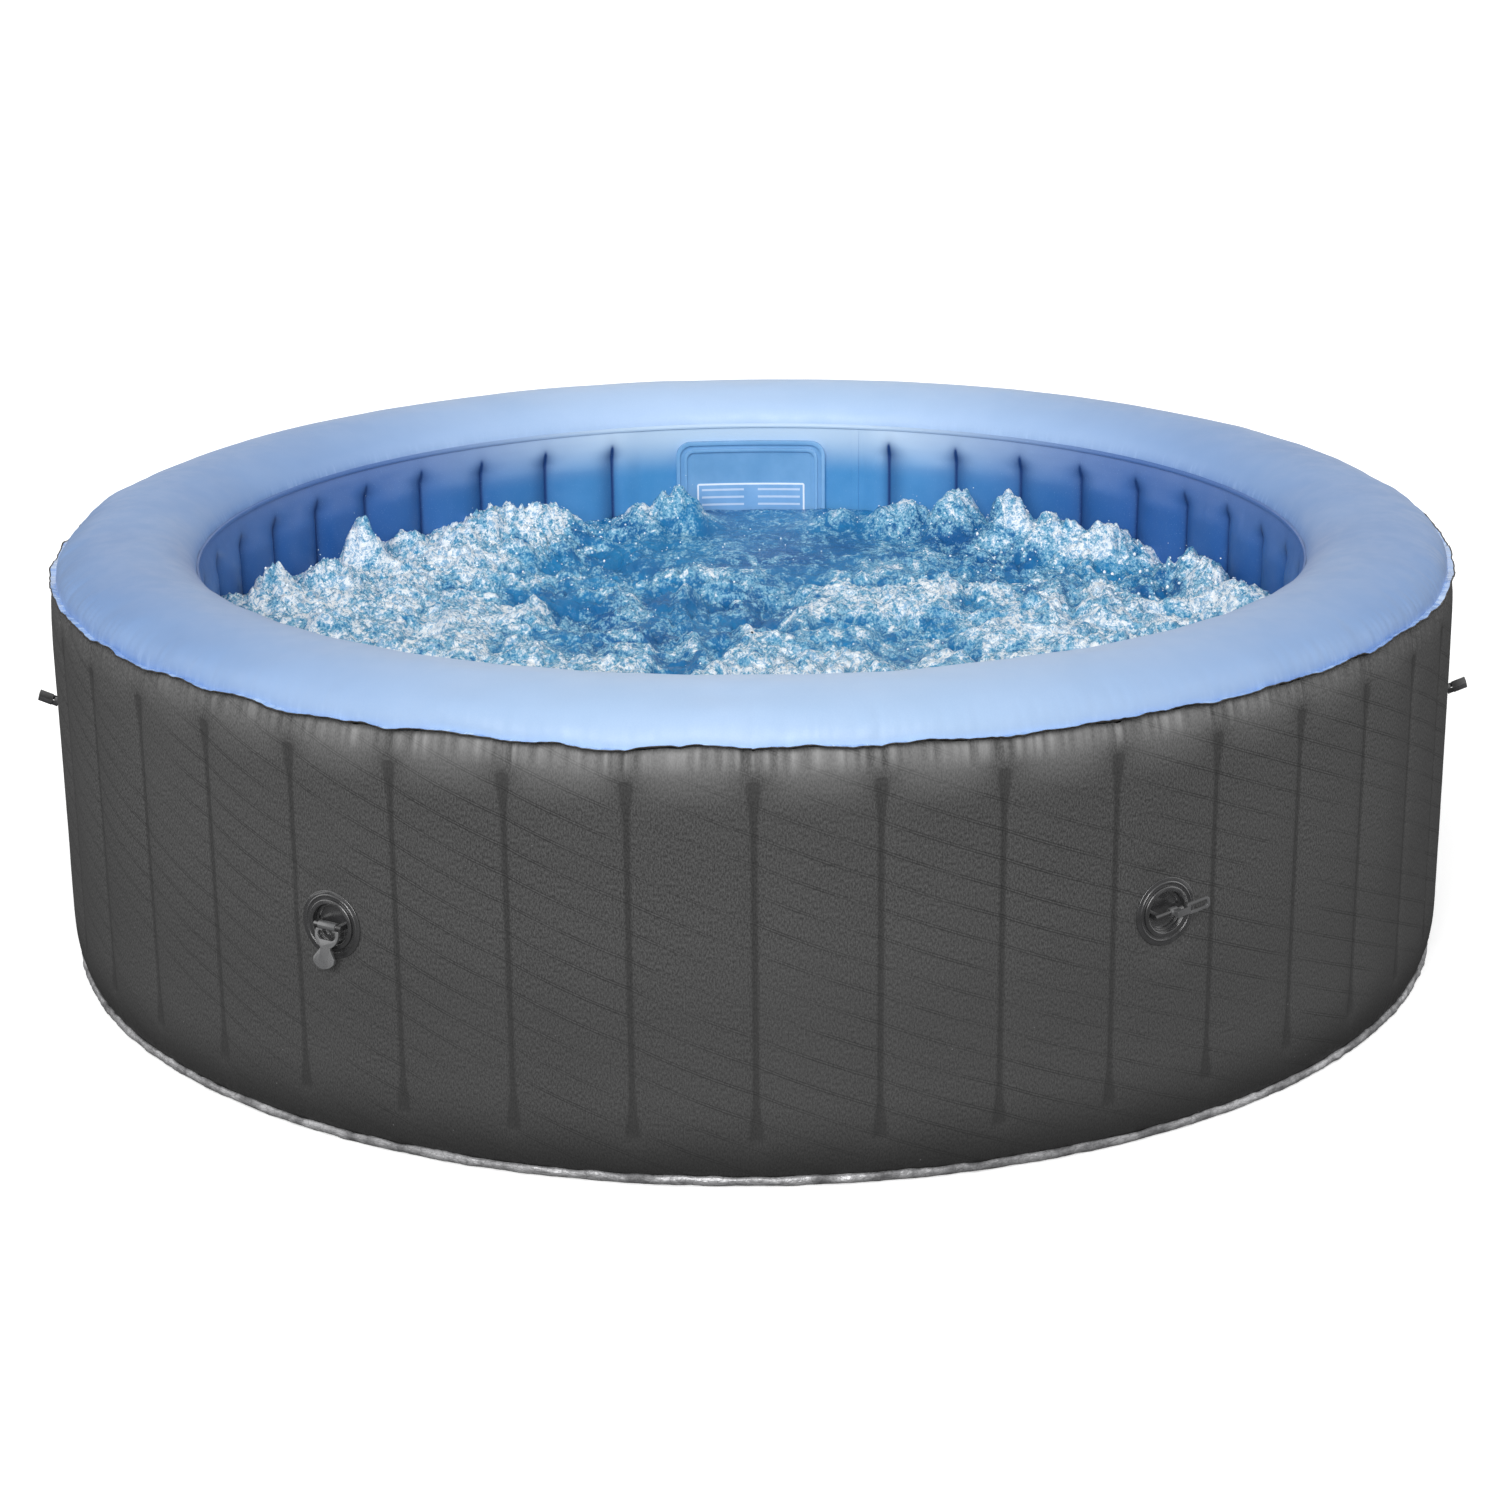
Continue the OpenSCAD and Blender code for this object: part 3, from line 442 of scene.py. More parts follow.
def ground_mat_foil():
    """Foil-faced mat whose crinkled edge is turned up round the foot."""
    az = np.linspace(-math.pi, math.pi, 2200, endpoint=False)[:, None]

    # outline of a cut through the mat: radius in metres, height in millimetres
    section = [(0.30, 1), (0.80, 1), (FOOT_R, 1), (FOOT_R + 9 * MM, 1.4), (FOOT_R + 12 * MM, 4),
               (FOOT_R + 12.5 * MM, 8), (FOOT_R + 11 * MM, 12), (FOOT_R + 9 * MM, 14),
               (FOOT_R + 7 * MM, 13), (FOOT_R + 3 * MM, 9), (FOOT_R - 30 * MM, 7.6), (0.30, 7.6)]
    r = np.array([p[0] for p in section])[None, :]
    z = np.array([p[1] for p in section])[None, :] * MM
    edge = smoothstep(FOOT_R + 2 * MM, FOOT_R + 11 * MM, r)
    crinkle = round_fbm(az, 48, z * 160, 3, 4)
    folds = ridged(np.cos(az) * 30, np.sin(az) * 30, z * 60, 9, 3)
    radius = r + edge * (crinkle * 4.0 + folds * 1.6 - 1.0) * MM
    height = z + edge * smoothstep(2 * MM, 10 * MM, z) * round_fbm(az, 40, 0, 6, 3) * 4 * MM
    points = round_point(radius, az, np.maximum(height, 0.2 * MM))
    points = np.concatenate([points, points[:, :1]], axis=1)
    mat = grid_object("ground_mat_foil", points, wrap=True, flip=True)
    finish_skin(mat, "mat_foil", "ground_mat")


def finish_skin(obj, slot, node):
    obj.data.materials.append(MATERIALS[slot])
    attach(obj, "root")
    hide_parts(node)


# ---- water ----

# Where the boil is thrown highest: azimuth in degrees, radius in metres, height and spread in millimetres
PLUMES = ((-170, 0.705, 62, 46), (-163, 0.700, 30, 60), (-152, 0.700, 52, 66), (-144, 0.710, 60, 60),
          (-133, 0.700, 34, 60), (-122, 0.735, 80, 32), (-112, 0.720, 44, 56), (-101, 0.745, 58, 42),
          (-93, 0.760, 30, 56), (168, 0.700, 26, 40), (159, 0.710, 62, 50), (151, 0.710, 74, 52),
          (143, 0.700, 66, 52), (135, 0.710, 40, 50), (127, 0.730, 34, 50), (114, 0.745, 50, 44),
          (106, 0.755, 40, 40), (96, 0.760, 20, 60))


def boil(x, y):
    """How hard the water boils, up to 1 over the air ring, and how calm it is, up to 1 at the panel."""
    r = np.hypot(x, y)
    ring = smoothstep(0.40, 0.68, r)
    patchy = 0.75 + 0.7 * fbm(x * 3.1 + 4, y * 3.1, 0, 77, 2)
    calm = 1 - smoothstep(0.12, 0.34, np.hypot((x - CALM_X) * 0.85, (y - CALM_Y) * 0.75))
    return np.clip(ring * patchy, 0, 1) * (1 - calm), calm


def plumes(x, y):
    """Height of the thrown water over the air ring."""
    total = np.zeros(np.broadcast(x, y).shape)
    for azimuth, radius, height, spread in PLUMES:
        px, py = radius * math.sin(math.radians(azimuth)), -radius * math.cos(math.radians(azimuth))
        near = np.exp(-(np.hypot(x - px, y - py) / (spread * MM)) ** 2)
        total = np.maximum(total, height * MM * near)
    return total


def water_height(x, y):
    """Height of the churning surface above its mean level, and how foamy it is."""
    strength, calm = boil(x, y)
    live = 1 - 0.85 * calm
    bend_x = x + 0.06 * fbm(x * 5, y * 5, 0, 201, 2)
    bend_y = y + 0.06 * fbm(x * 5, y * 5, 3, 203, 2)
    swell = fbm(bend_x * 4.5, bend_y * 4.0, 2, 115, 2)
    crests = 1 - billow(bend_x * 7.5, bend_y * 5.5, 0.3, 111, 2)
    heads = billow(bend_x * 11, bend_y * 8, 0.7, 121, 2)
    lumps = billow(bend_x * 24, bend_y * 17, 0.5, 131, 3)
    froth = billow(x * 52, y * 42, 0.9, 141, 3)
    thrown = plumes(x, y)
    height = (swell * 36 + (crests - 0.6) * 42 + (heads - 0.35) * 46 + (lumps - 0.35) * 26) * MM * live
    height = height + 15 * MM * strength + thrown * (0.60 + 0.9 * heads + 0.5 * lumps)
    height = height + (froth - 0.35) * (6 + 12 * strength + 170 * thrown) * MM * live
    crest = smoothstep(0.30, 0.95, 0.55 * crests + 0.9 * heads + 0.9 * swell)
    patch = fbm(x * 9, y * 7, 6, 151, 3)
    foam = 0.13 + 0.76 * crest + 0.02 * strength + 0.65 * patch + 0.5 * (froth - 0.35)
    foam = np.clip(foam * (1 - 0.9 * calm), -0.15, 0.62)
    return height, np.clip(foam + 8 * thrown, -0.15, 0.66)


def water_surface():
    """Frothing water: a closed layer whose top is thrown up by the air ring."""
    az = np.linspace(-math.pi, math.pi, 1250, endpoint=False)[:, None]
    r = np.concatenate([[WATER_CORE_R], np.linspace(0.012, WATER_R, 250)])[None, :]
    x, y = r * np.sin(az), -r * np.cos(az)
    height, foam = water_height(x, y)
    top = round_point(r, az, WATER_Z + height)
    skirt = round_point(np.array([[WATER_R, WATER_R, WATER_CORE_R]]), az,
                        np.array([[WATER_Z - 12 * MM, WATER_Z - WATER_DEPTH, WATER_Z - WATER_DEPTH]]))
    points = np.concatenate([top, skirt], axis=1)
    foam = np.concatenate([foam, np.zeros((len(az), 3))], axis=1)
    water = grid_object("water", points, wrap=True, flip=True, fields={"foam": foam})
    water.data.materials.append(MATERIALS["water"])
    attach(water, "root")


def ball_shape():
    """Points and triangles of a small ball of radius 1."""
    ball = bmesh.new()
    bmesh.ops.create_icosphere(ball, subdivisions=1, radius=1)
    verts = np.array([v.co for v in ball.verts])
    faces = np.array([[v.index for v in f.verts] for f in ball.faces])
    ball.free()
    return verts, faces


def spray():
    """Bubbles that ride on the foam and drops thrown up over the air ring."""
    rng = np.random.default_rng(11)
    count = 9000
    r = WATER_R * np.sqrt(rng.uniform(0.02, 0.985, count))
    az = rng.uniform(-math.pi, math.pi, count)
    x, y = r * np.sin(az), -r * np.cos(az)
    height, foam = water_height(x, y)
    strength, _ = boil(x, y)
    thrown = plumes(x, y) / (50 * MM)
    keep = rng.uniform(0, 1, count) < 0.04 + 0.35 * strength + 0.9 * thrown
    x, y, height, strength, thrown = (v[keep] for v in (x, y, height, strength, thrown))
    size = 0.0009 + 0.0026 * rng.power(0.4, len(x)) * (0.4 + 0.6 * strength)
    flying = rng.uniform(0, 1, len(x)) < 0.30 * thrown
    lift = np.where(flying, rng.exponential(0.012, len(x)) * thrown + size, size * 0.3)
    size = np.where(flying, size * 0.5, size)
    ball, triangles = ball_shape()
    centres = np.stack([x, y, WATER_Z + height + np.minimum(lift, 0.04)], axis=1)
    stretch = np.stack([np.ones(len(x)), np.ones(len(x)), rng.uniform(0.6, 1.5, len(x))], axis=1)
    verts = (centres[:, None] + ball[None] * (size[:, None] * stretch)[:, None]).reshape(-1, 3)
    faces = (triangles[None] + (np.arange(len(x)) * len(ball))[:, None, None]).reshape(-1, 3)
    drops, _ = make_object("water_spray", verts, faces)
    drops.data.materials.append(MATERIALS["spray"])
    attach(drops, "root")


# ---- materials ----

def set_range(node, low, high, to_low, to_high):
    """Sets what a Map Range node maps from and to."""
    for socket, value in (("From Min", low), ("From Max", high), ("To Min", to_low), ("To Max", to_high)):
        node.inputs[socket].default_value = value


class Finish:
    """A node material round one Principled shader, with short calls for the nodes it needs."""

    def __init__(self, name, color, roughness, **sockets):
        self.material = bpy.data.materials.new(name)
        self.material.use_nodes = True
        self.tree = self.material.node_tree
        self.shader = self.tree.nodes["Principled BSDF"]
        self.shader.inputs["Base Color"].default_value = (*color, 1)
        self.shader.inputs["Roughness"].default_value = roughness
        for socket, value in sockets.items():
            self.shader.inputs[socket.replace("_", " ")].default_value = value
        coords = self.tree.nodes.new("ShaderNodeTexCoord")
        self.place = coords.outputs["Object"]

    def link(self, source, target):
        """Feeds a socket from another socket, a number or a colour."""
        if isinstance(source, (int, float)):
            target.default_value = source
        elif isinstance(source, tuple):
            target.default_value = (*source, 1)[:len(target.default_value)]
        else:
            self.tree.links.new(source, target)

    def math(self, operation, a, b=0.0):
        node = self.tree.nodes.new("ShaderNodeMath")
        node.operation = operation
        self.link(a, node.inputs[0])
        self.link(b, node.inputs[1])
        return node.outputs[0]

    def scaled(self, x, y, z, vector=None):
        node = self.tree.nodes.new("ShaderNodeMapping")
        node.inputs["Scale"].default_value = (x, y, z)
        self.link(vector or self.place, node.inputs["Vector"])
        return node.outputs[0]

    def noise(self, scale, detail=3.0, roughness=0.55, distortion=0.0, vector=None):
        node = self.tree.nodes.new("ShaderNodeTexNoise")
        node.inputs["Scale"].default_value = scale
        node.inputs["Detail"].default_value = detail
        node.inputs["Roughness"].default_value = roughness
        node.inputs["Distortion"].default_value = distortion
        self.link(vector or self.place, node.inputs["Vector"])
        return node.outputs["Fac"]

    def cells(self, scale, feature="F1", vector=None):
        node = self.tree.nodes.new("ShaderNodeTexVoronoi")
        node.feature = feature
        node.inputs["Scale"].default_value = scale
        self.link(vector or self.place, node.inputs["Vector"])
        return node.outputs["Distance"]

    def spread(self, value, low, high, to_low=0.0, to_high=1.0):
        """A smooth step in value, from to_low at low to to_high at high."""
        node = self.tree.nodes.new("ShaderNodeMapRange")
        node.interpolation_type = "SMOOTHSTEP"
        self.link(value, node.inputs["Value"])
        set_range(node, low, high, to_low, to_high)
        return node.outputs["Result"]

    def mix(self, share, a, b):
        node = self.tree.nodes.new("ShaderNodeMix")
        node.data_type = "RGBA"
        self.link(share, node.inputs["Factor"])
        self.link(a, node.inputs["A"])
        self.link(b, node.inputs["B"])
        return node.outputs["Result"]

    def field(self, name):
        node = self.tree.nodes.new("ShaderNodeAttribute")
        node.attribute_name = name
        return node.outputs["Fac"]

    def split(self):
        """The x, y and z of the place on the tub."""
        node = self.tree.nodes.new("ShaderNodeSeparateXYZ")
        self.link(self.place, node.inputs[0])
        return tuple(node.outputs)

    def around(self, radius):
        """Place on the unrolled wall: arc length round the tub, height."""
        x, y, z = self.split()
        angle = self.math("ARCTAN2", x, self.math("MULTIPLY", y, -1.0))
        return self.math("MULTIPLY", angle, radius), z

    def sideways(self, low, high):
        """From 0 in the middle of the tub to 1 at its left and right sides."""
        return self.spread(self.math("ABSOLUTE", self.split()[0]), low, high)

    def inward(self, low, high):
        """From 0 at one distance from the tub's axis to 1 at another."""
        x, y, _ = self.split()
        square = self.math("ADD", self.math("MULTIPLY", x, x), self.math("MULTIPLY", y, y))
        return self.spread(self.math("SQRT", square), low, high)

    def forward(self, low, high):
        """From 0 to 1 between two distances behind the tub's middle; a negative one is in front of it."""
        return self.spread(self.split()[1], low, high)

    def combine(self, x, y, z=0.0):
        node = self.tree.nodes.new("ShaderNodeCombineXYZ")
        for source, target in zip((x, y, z), node.inputs):
            self.link(source, target)
        return node.outputs[0]

    def color(self, value):
        self.link(value, self.shader.inputs["Base Color"])

    def roughness(self, value):
        self.link(value, self.shader.inputs["Roughness"])

    def bump(self, height, distance, strength=1.0):
        node = self.tree.nodes.new("ShaderNodeBump")
        node.inputs["Strength"].default_value = strength
        node.inputs["Distance"].default_value = distance
        self.link(height, node.inputs["Height"])
        self.link(node.outputs[0], self.shader.inputs["Normal"])


def wall_skin_finish():
    """Charcoal laminate with an upright grain and faint embossed double lines that fall to the right."""
    f = Finish("wall_skin", (0.062, 0.062, 0.063), 0.55, Specular_IOR_Level=0.25)
    arc, height = f.around(WALL_R)
    plane = f.combine(arc, height)
    grain = f.noise(1.0, 3.0, 0.65, vector=f.scaled(520, 240, 1, plane))
    weave = f.noise(1.0, 2.0, 0.5, vector=f.scaled(900, 700, 1, plane))
    cloud = f.noise(3.0, 4.0, 0.6)
    slope = f.math("ADD", height, f.math("MULTIPLY", arc, 0.40))
    phase = f.math("FRACT", f.math("DIVIDE", slope, 37 * MM))
    first = f.spread(f.math("ABSOLUTE", f.math("SUBTRACT", phase, 0.40)), 0.03, 0.008)
    second = f.spread(f.math("ABSOLUTE", f.math("SUBTRACT", phase, 0.49)), 0.025, 0.008)
    faint = f.spread(f.noise(5.0, 3.0, 0.6), 0.30, 0.60)
    lines = f.math("MULTIPLY", f.math("MAXIMUM", first, second), faint)
    foot = f.spread(height, 0.120, 0.010)
    base = f.mix(f.spread(grain, 0.30, 0.70), (0.030, 0.030, 0.030), (0.104, 0.104, 0.104))
    base = f.mix(f.math("MULTIPLY", f.spread(cloud, 0.35, 0.75), 0.20), base, (0.095, 0.095, 0.095))
    base = f.mix(f.math("MULTIPLY", lines, 0.70), base, (0.020, 0.020, 0.020))
    base = f.mix(f.math("MULTIPLY", f.field("crease"), 0.62), base, (0.020, 0.020, 0.020))
    # Painted highlight below the weld, faded towards the left and right sides and mixed towards a light grey
    weld_band = f.math("MULTIPLY", f.field("weld_band"), f.math("SUBTRACT", 1.0, f.sideways(0.35, 0.95)))
    base = f.mix(weld_band, base, (0.52, 0.52, 0.52))
    # Painted shade: darker towards the bottom of the wall
    base = f.mix(f.spread(height, 0.34, 0.20, 0.0, 0.25), base, (0.040, 0.040, 0.040))
    # Painted shade on the curled foot, which faces down
    base = f.mix(f.math("MULTIPLY", foot, 0.75), base, (0.022, 0.022, 0.022))
    specks = f.spread(f.cells(28.0), 0.035, 0.02)
    base = f.mix(f.math("MULTIPLY", specks, 0.35), base, (0.30, 0.30, 0.30))
    f.color(base)
    f.roughness(f.spread(f.math("ADD", grain, f.math("MULTIPLY", weave, 0.5)), 0.4, 1.1, 0.64, 0.46))
    relief = f.math("ADD", f.math("MULTIPLY", grain, 0.7), f.math("MULTIPLY", weave, 0.3))
    relief = f.math("SUBTRACT", relief, f.math("MULTIPLY", lines, 0.5))
    f.bump(relief, 0.0005, 0.45)
    return f.material


def rim_skin_finish():
    """Light blue satin laminate with a faint grain, painted highlight streaks beside the weld, and painted
    shade at its sides and along the front's inner edge.
    """
    f = Finish("rim_skin", (0.28, 0.45, 0.72), 0.42, Specular_IOR_Level=0.45,
               Sheen_Weight=0.10, Sheen_Roughness=0.4)
    arc, height = f.around(WALL_R)
    streaks = f.noise(1.0, 3.0, 0.6, vector=f.scaled(110, 22, 1, f.combine(arc, height)))
    cloud = f.noise(4.0, 4.0, 0.6)
    pores = f.noise(620.0, 2.0, 0.6)
    low = f.spread(height, WELD_Z + 22 * MM, WELD_Z - 2 * MM)
    base = f.mix(f.spread(cloud, 0.3, 0.7), (0.385, 0.535, 0.755), (0.425, 0.570, 0.790))
    # Painted shade: a darker blue towards the left and right sides of the rim
    deep = f.mix(f.spread(cloud, 0.3, 0.7), (0.160, 0.275, 0.520), (0.190, 0.315, 0.565))
    base = f.mix(f.sideways(0.12, 0.95), base, deep)
    # Painted shade: a darker, more saturated blue low beside the weld at the left and right sides
    low_side = f.math("MULTIPLY", low, f.math("MULTIPLY", f.sideways(0.45, 0.9), 0.5))
    base = f.mix(low_side, base, (0.10, 0.22, 0.53))
    # Painted shade along the inner edge of the front of the rim
    inner = f.math("MULTIPLY", f.inward(SEAM_R + 60 * MM, SEAM_R), f.forward(0.1, -0.4))
    base = f.mix(f.math("MULTIPLY", inner, 0.65), base, (0.150, 0.215, 0.420))
    # Painted highlight: lighter streaks beside the weld, where the skin puckers
    base = f.mix(f.math("MULTIPLY", f.spread(streaks, 0.45, 0.75), f.math("MULTIPLY", low, 0.35)),
                 base, (0.44, 0.60, 0.84))
    base = f.mix(f.math("MULTIPLY", f.spread(pores, 0.35, 0.65), 0.10), base, (0.21, 0.36, 0.66))
    f.color(base)
    f.roughness(f.spread(f.noise(30.0, 3.0), 0.3, 0.7, 0.38, 0.5))
    f.bump(f.math("ADD", pores, f.math("MULTIPLY", streaks, f.math("MULTIPLY", low, 1.5))), 0.0004, 0.35)
    return f.material


def basin_skin_finish():
    """Deeper blue laminate of the basin, with painted shade in its folds and at its sides, and a pale band
    of painted light below the seam.
    """
    f = Finish("basin_skin", (0.10, 0.27, 0.60), 0.36, Specular_IOR_Level=0.4)
    _, height = f.around(SEAM_R)
    cloud = f.noise(6.0, 4.0, 0.6)
    pores = f.noise(520.0, 2.0, 0.6)
    base = f.mix(f.spread(cloud, 0.3, 0.7), (0.064, 0.268, 0.550), (0.090, 0.315, 0.615))
    # Painted light: a pale band that grows towards the seam
    painted_light_band = f.spread(height, SEAM_Z - 86 * MM, SEAM_Z - 2 * MM)
    base = f.mix(painted_light_band, base, (0.500, 0.640, 0.790))
    # Painted shade: darker towards the left and right sides of the basin
    base = f.mix(f.math("MULTIPLY", f.sideways(0.10, 0.66), 0.90), base, (0.022, 0.096, 0.335))
    # Painted shade in the folds, from the crease field that basin_skin fills
    base = f.mix(f.math("MULTIPLY", f.field("crease"), 0.80), base, (0.012, 0.045, 0.17))
    base = f.mix(f.math("MULTIPLY", f.spread(pores, 0.62, 0.74), 0.25), base, (0.30, 0.50, 0.78))
    f.color(base)
    f.roughness(f.spread(f.noise(24.0, 3.0), 0.3, 0.7, 0.30, 0.45))
    f.bump(pores, 0.0004, 0.4)
    return f.material


def weld_edge_finish():
    """Glossy trimmed edge of the rim laminate."""
    f = Finish("weld_edge", (0.33, 0.53, 0.86), 0.2, Specular_IOR_Level=0.6,
               Coat_Weight=0.4, Coat_Roughness=0.12)
    arc, height = f.around(WALL_R)
    streak = f.noise(1.0, 3.0, 0.6, vector=f.scaled(60, 60, 1, f.combine(arc, height)))
    f.color(f.mix(f.spread(streak, 0.3, 0.7), (0.20, 0.38, 0.78), (0.55, 0.72, 0.95)))
    f.roughness(f.spread(streak, 0.3, 0.7, 0.14, 0.32))
    f.bump(f.noise(240.0, 3.0), 0.0006, 0.4)
    return f.material


def weld_backing_and_shadow_finish():
    """Dark backing and cut face of the weld; its near-black colour is also painted shadow under the trimmed
    edge.
    """
    f = Finish("weld_backing_and_shadow", (0.02, 0.018, 0.018), 0.5)
    f.color(f.mix(f.spread(f.noise(160.0, 3.0), 0.35, 0.7), (0.010, 0.009, 0.009), (0.05, 0.044, 0.040)))
    f.roughness(f.spread(f.noise(90.0), 0.3, 0.7, 0.35, 0.6))
    return f.material


def foil_finish():
    """Dull silver foil over foam, with soft creases, painted shade along them, and patches of dirt."""
    f = Finish("mat_foil", (0.45, 0.45, 0.46), 0.4, Metallic=0.35)
    crinkle = f.cells(90.0, "DISTANCE_TO_EDGE", f.scaled(1, 1, 2.4))
    dirt = f.noise(22.0, 5.0, 0.65)
    base = f.mix(f.spread(dirt, 0.36, 0.66), (0.42, 0.42, 0.43), (0.13, 0.13, 0.135))
    # Painted shade along the creases of the crinkle
    base = f.mix(f.math("MULTIPLY", f.spread(crinkle, 0.05, 0.0), 0.5), base, (0.05, 0.05, 0.05))
    f.color(base)
    f.roughness(f.spread(dirt, 0.35, 0.7, 0.32, 0.6))
    f.bump(f.math("ADD", crinkle, f.noise(220.0, 3.0)), 0.0012, 0.6)
    return f.material


def water_finish():
    """Opaque blue water with white foam, pale veils, painted shade in the foam's pits, and small bubbles."""
    f = Finish("water", (0.04, 0.22, 0.42), 0.08, IOR=1.33, Specular_IOR_Level=0.5)
    foam = f.field("foam")
    flow = f.scaled(1, 0.62, 1)
    veil = f.noise(26.0, 7.0, 0.66, 1.0, flow)
    curd = f.noise(80.0, 6.0, 0.70, 0.8, flow)
    fine = f.noise(240.0, 4.0, 0.7, 0.5, flow)
    bubbles = f.cells(190.0, "F1", flow)
    level = f.math("ADD", foam, f.math("MULTIPLY", f.math("SUBTRACT", veil, 0.5), 2.2))
    level = f.math("ADD", level, f.math("MULTIPLY", f.math("SUBTRACT", curd, 0.5), 1.7))
    level = f.math("ADD", level, f.math("MULTIPLY", f.math("SUBTRACT", fine, 0.5), 0.9))
    murk = f.spread(level, 0.00, 0.44)
    white = f.spread(level, 0.42, 0.74)
    deep = f.mix(f.spread(f.noise(6.0, 4.0, 0.6), 0.3, 0.7), (0.003, 0.090, 0.285), (0.012, 0.205, 0.450))
    glint = f.mix(f.spread(fine, 0.40, 0.60), (0.050, 0.270, 0.470), (0.280, 0.530, 0.690))
    froth = f.mix(f.spread(bubbles, 0.0, 0.55), (1.0, 1.0, 1.0), (0.84, 0.89, 0.93))
    # Painted shade: a darker blue in the pits of the foam
    painted_pit_shade = f.spread(f.noise(130.0, 5.0, 0.75, 1.0, flow), 0.54, 0.42)
    froth = f.mix(f.math("MULTIPLY", painted_pit_shade, 0.85), froth, (0.12, 0.36, 0.60))
    f.color(f.mix(white, f.mix(murk, deep, glint), froth))
    f.roughness(f.math("ADD", f.math("MULTIPLY", white, 0.30), 0.06))
    relief = f.math("ADD", f.math("MULTIPLY", curd, 1.4), f.math("MULTIPLY", fine, 0.4))
    relief = f.math("ADD", relief, f.math("MULTIPLY", veil, 0.8))
    f.bump(relief, 0.006, 0.6)
    return f.material


def spray_finish():
    """Bright drops and bubbles; their near-white colour also stands in for painted glints on the water."""
    f = Finish("spray", (0.80, 0.88, 0.94), 0.05, IOR=1.33, Specular_IOR_Level=0.9)
    f.color(f.mix(f.spread(f.noise(40.0), 0.4, 0.6), (0.62, 0.76, 0.86), (0.96, 0.98, 1.0)))
    f.roughness(f.spread(f.noise(60.0), 0.3, 0.7, 0.04, 0.2))
    return f.material


def notice_finish():
    """A blank notice in the panel's blue: a thin white frame and a few plain white bars."""
    f = Finish("notice_white", (0.17, 0.37, 0.66), 0.4)
    low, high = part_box("notice_plate")
    x, _, z = f.split()
    half_w, half_h = (high.x - low.x) / 2, (high.z - low.z) / 2
    from_x = f.math("ABSOLUTE", f.math("SUBTRACT", x, (high.x + low.x) / 2))
    from_z = f.math("ABSOLUTE", f.math("SUBTRACT", z, (high.z + low.z) / 2))
    edge = f.math("MAXIMUM", f.math("SUBTRACT", from_x, half_w), f.math("SUBTRACT", from_z, half_h))
    frame_line = f.math("GREATER_THAN", edge, -3.0 * MM)
    row = f.math("FRACT", f.math("DIVIDE", f.math("SUBTRACT", high.z, z), 13 * MM))
    bars = f.math("GREATER_THAN", row, 0.72)
    bars = f.math("MULTIPLY", bars, f.math("LESS_THAN", edge, -8 * MM))
    bars = f.math("MULTIPLY", bars, f.math("GREATER_THAN", from_x, 12 * MM))
    blue = f.mix(f.spread(f.noise(18.0, 4.0, 0.6), 0.3, 0.7), (0.14, 0.33, 0.60), (0.18, 0.38, 0.66))
    ink = f.math("MAXIMUM", frame_line, f.math("MULTIPLY", bars, 0.55))
    f.color(f.mix(ink, blue, (0.72, 0.80, 0.90)))
    f.bump(f.noise(500.0), 0.0003, 0.5)
    return f.material


def plain_finish(name, dark, light, roughness, scale=40.0, **sockets):
    """A moulded, painted or fibrous finish: two close colours, a mottle and a fine grain."""
    f = Finish(name, dark, roughness, **sockets)
    mottle = f.noise(scale, 4.0, 0.6)
    pores = f.noise(500.0, 2.0, 0.6)
    f.color(f.mix(f.spread(mottle, 0.3, 0.7), dark, light))
    f.roughness(f.spread(pores, 0.3, 0.7, roughness * 0.85, min(1.0, roughness * 1.2)))
    f.bump(pores, 0.0003, 0.5)
    return f.material


def webbing_finish():
    """Woven black strap."""
    f = Finish("webbing", (0.03, 0.03, 0.03), 0.75, Sheen_Weight=0.3)
    ribs = f.noise(1.0, 2.0, 0.5, vector=f.scaled(900, 900, 350))
    f.color(f.mix(f.spread(ribs, 0.35, 0.65), (0.012, 0.012, 0.013), (0.055, 0.055, 0.058)))
    f.roughness(f.spread(ribs, 0.3, 0.7, 0.65, 0.85))
    f.bump(ribs, 0.0008, 0.8)
    return f.material


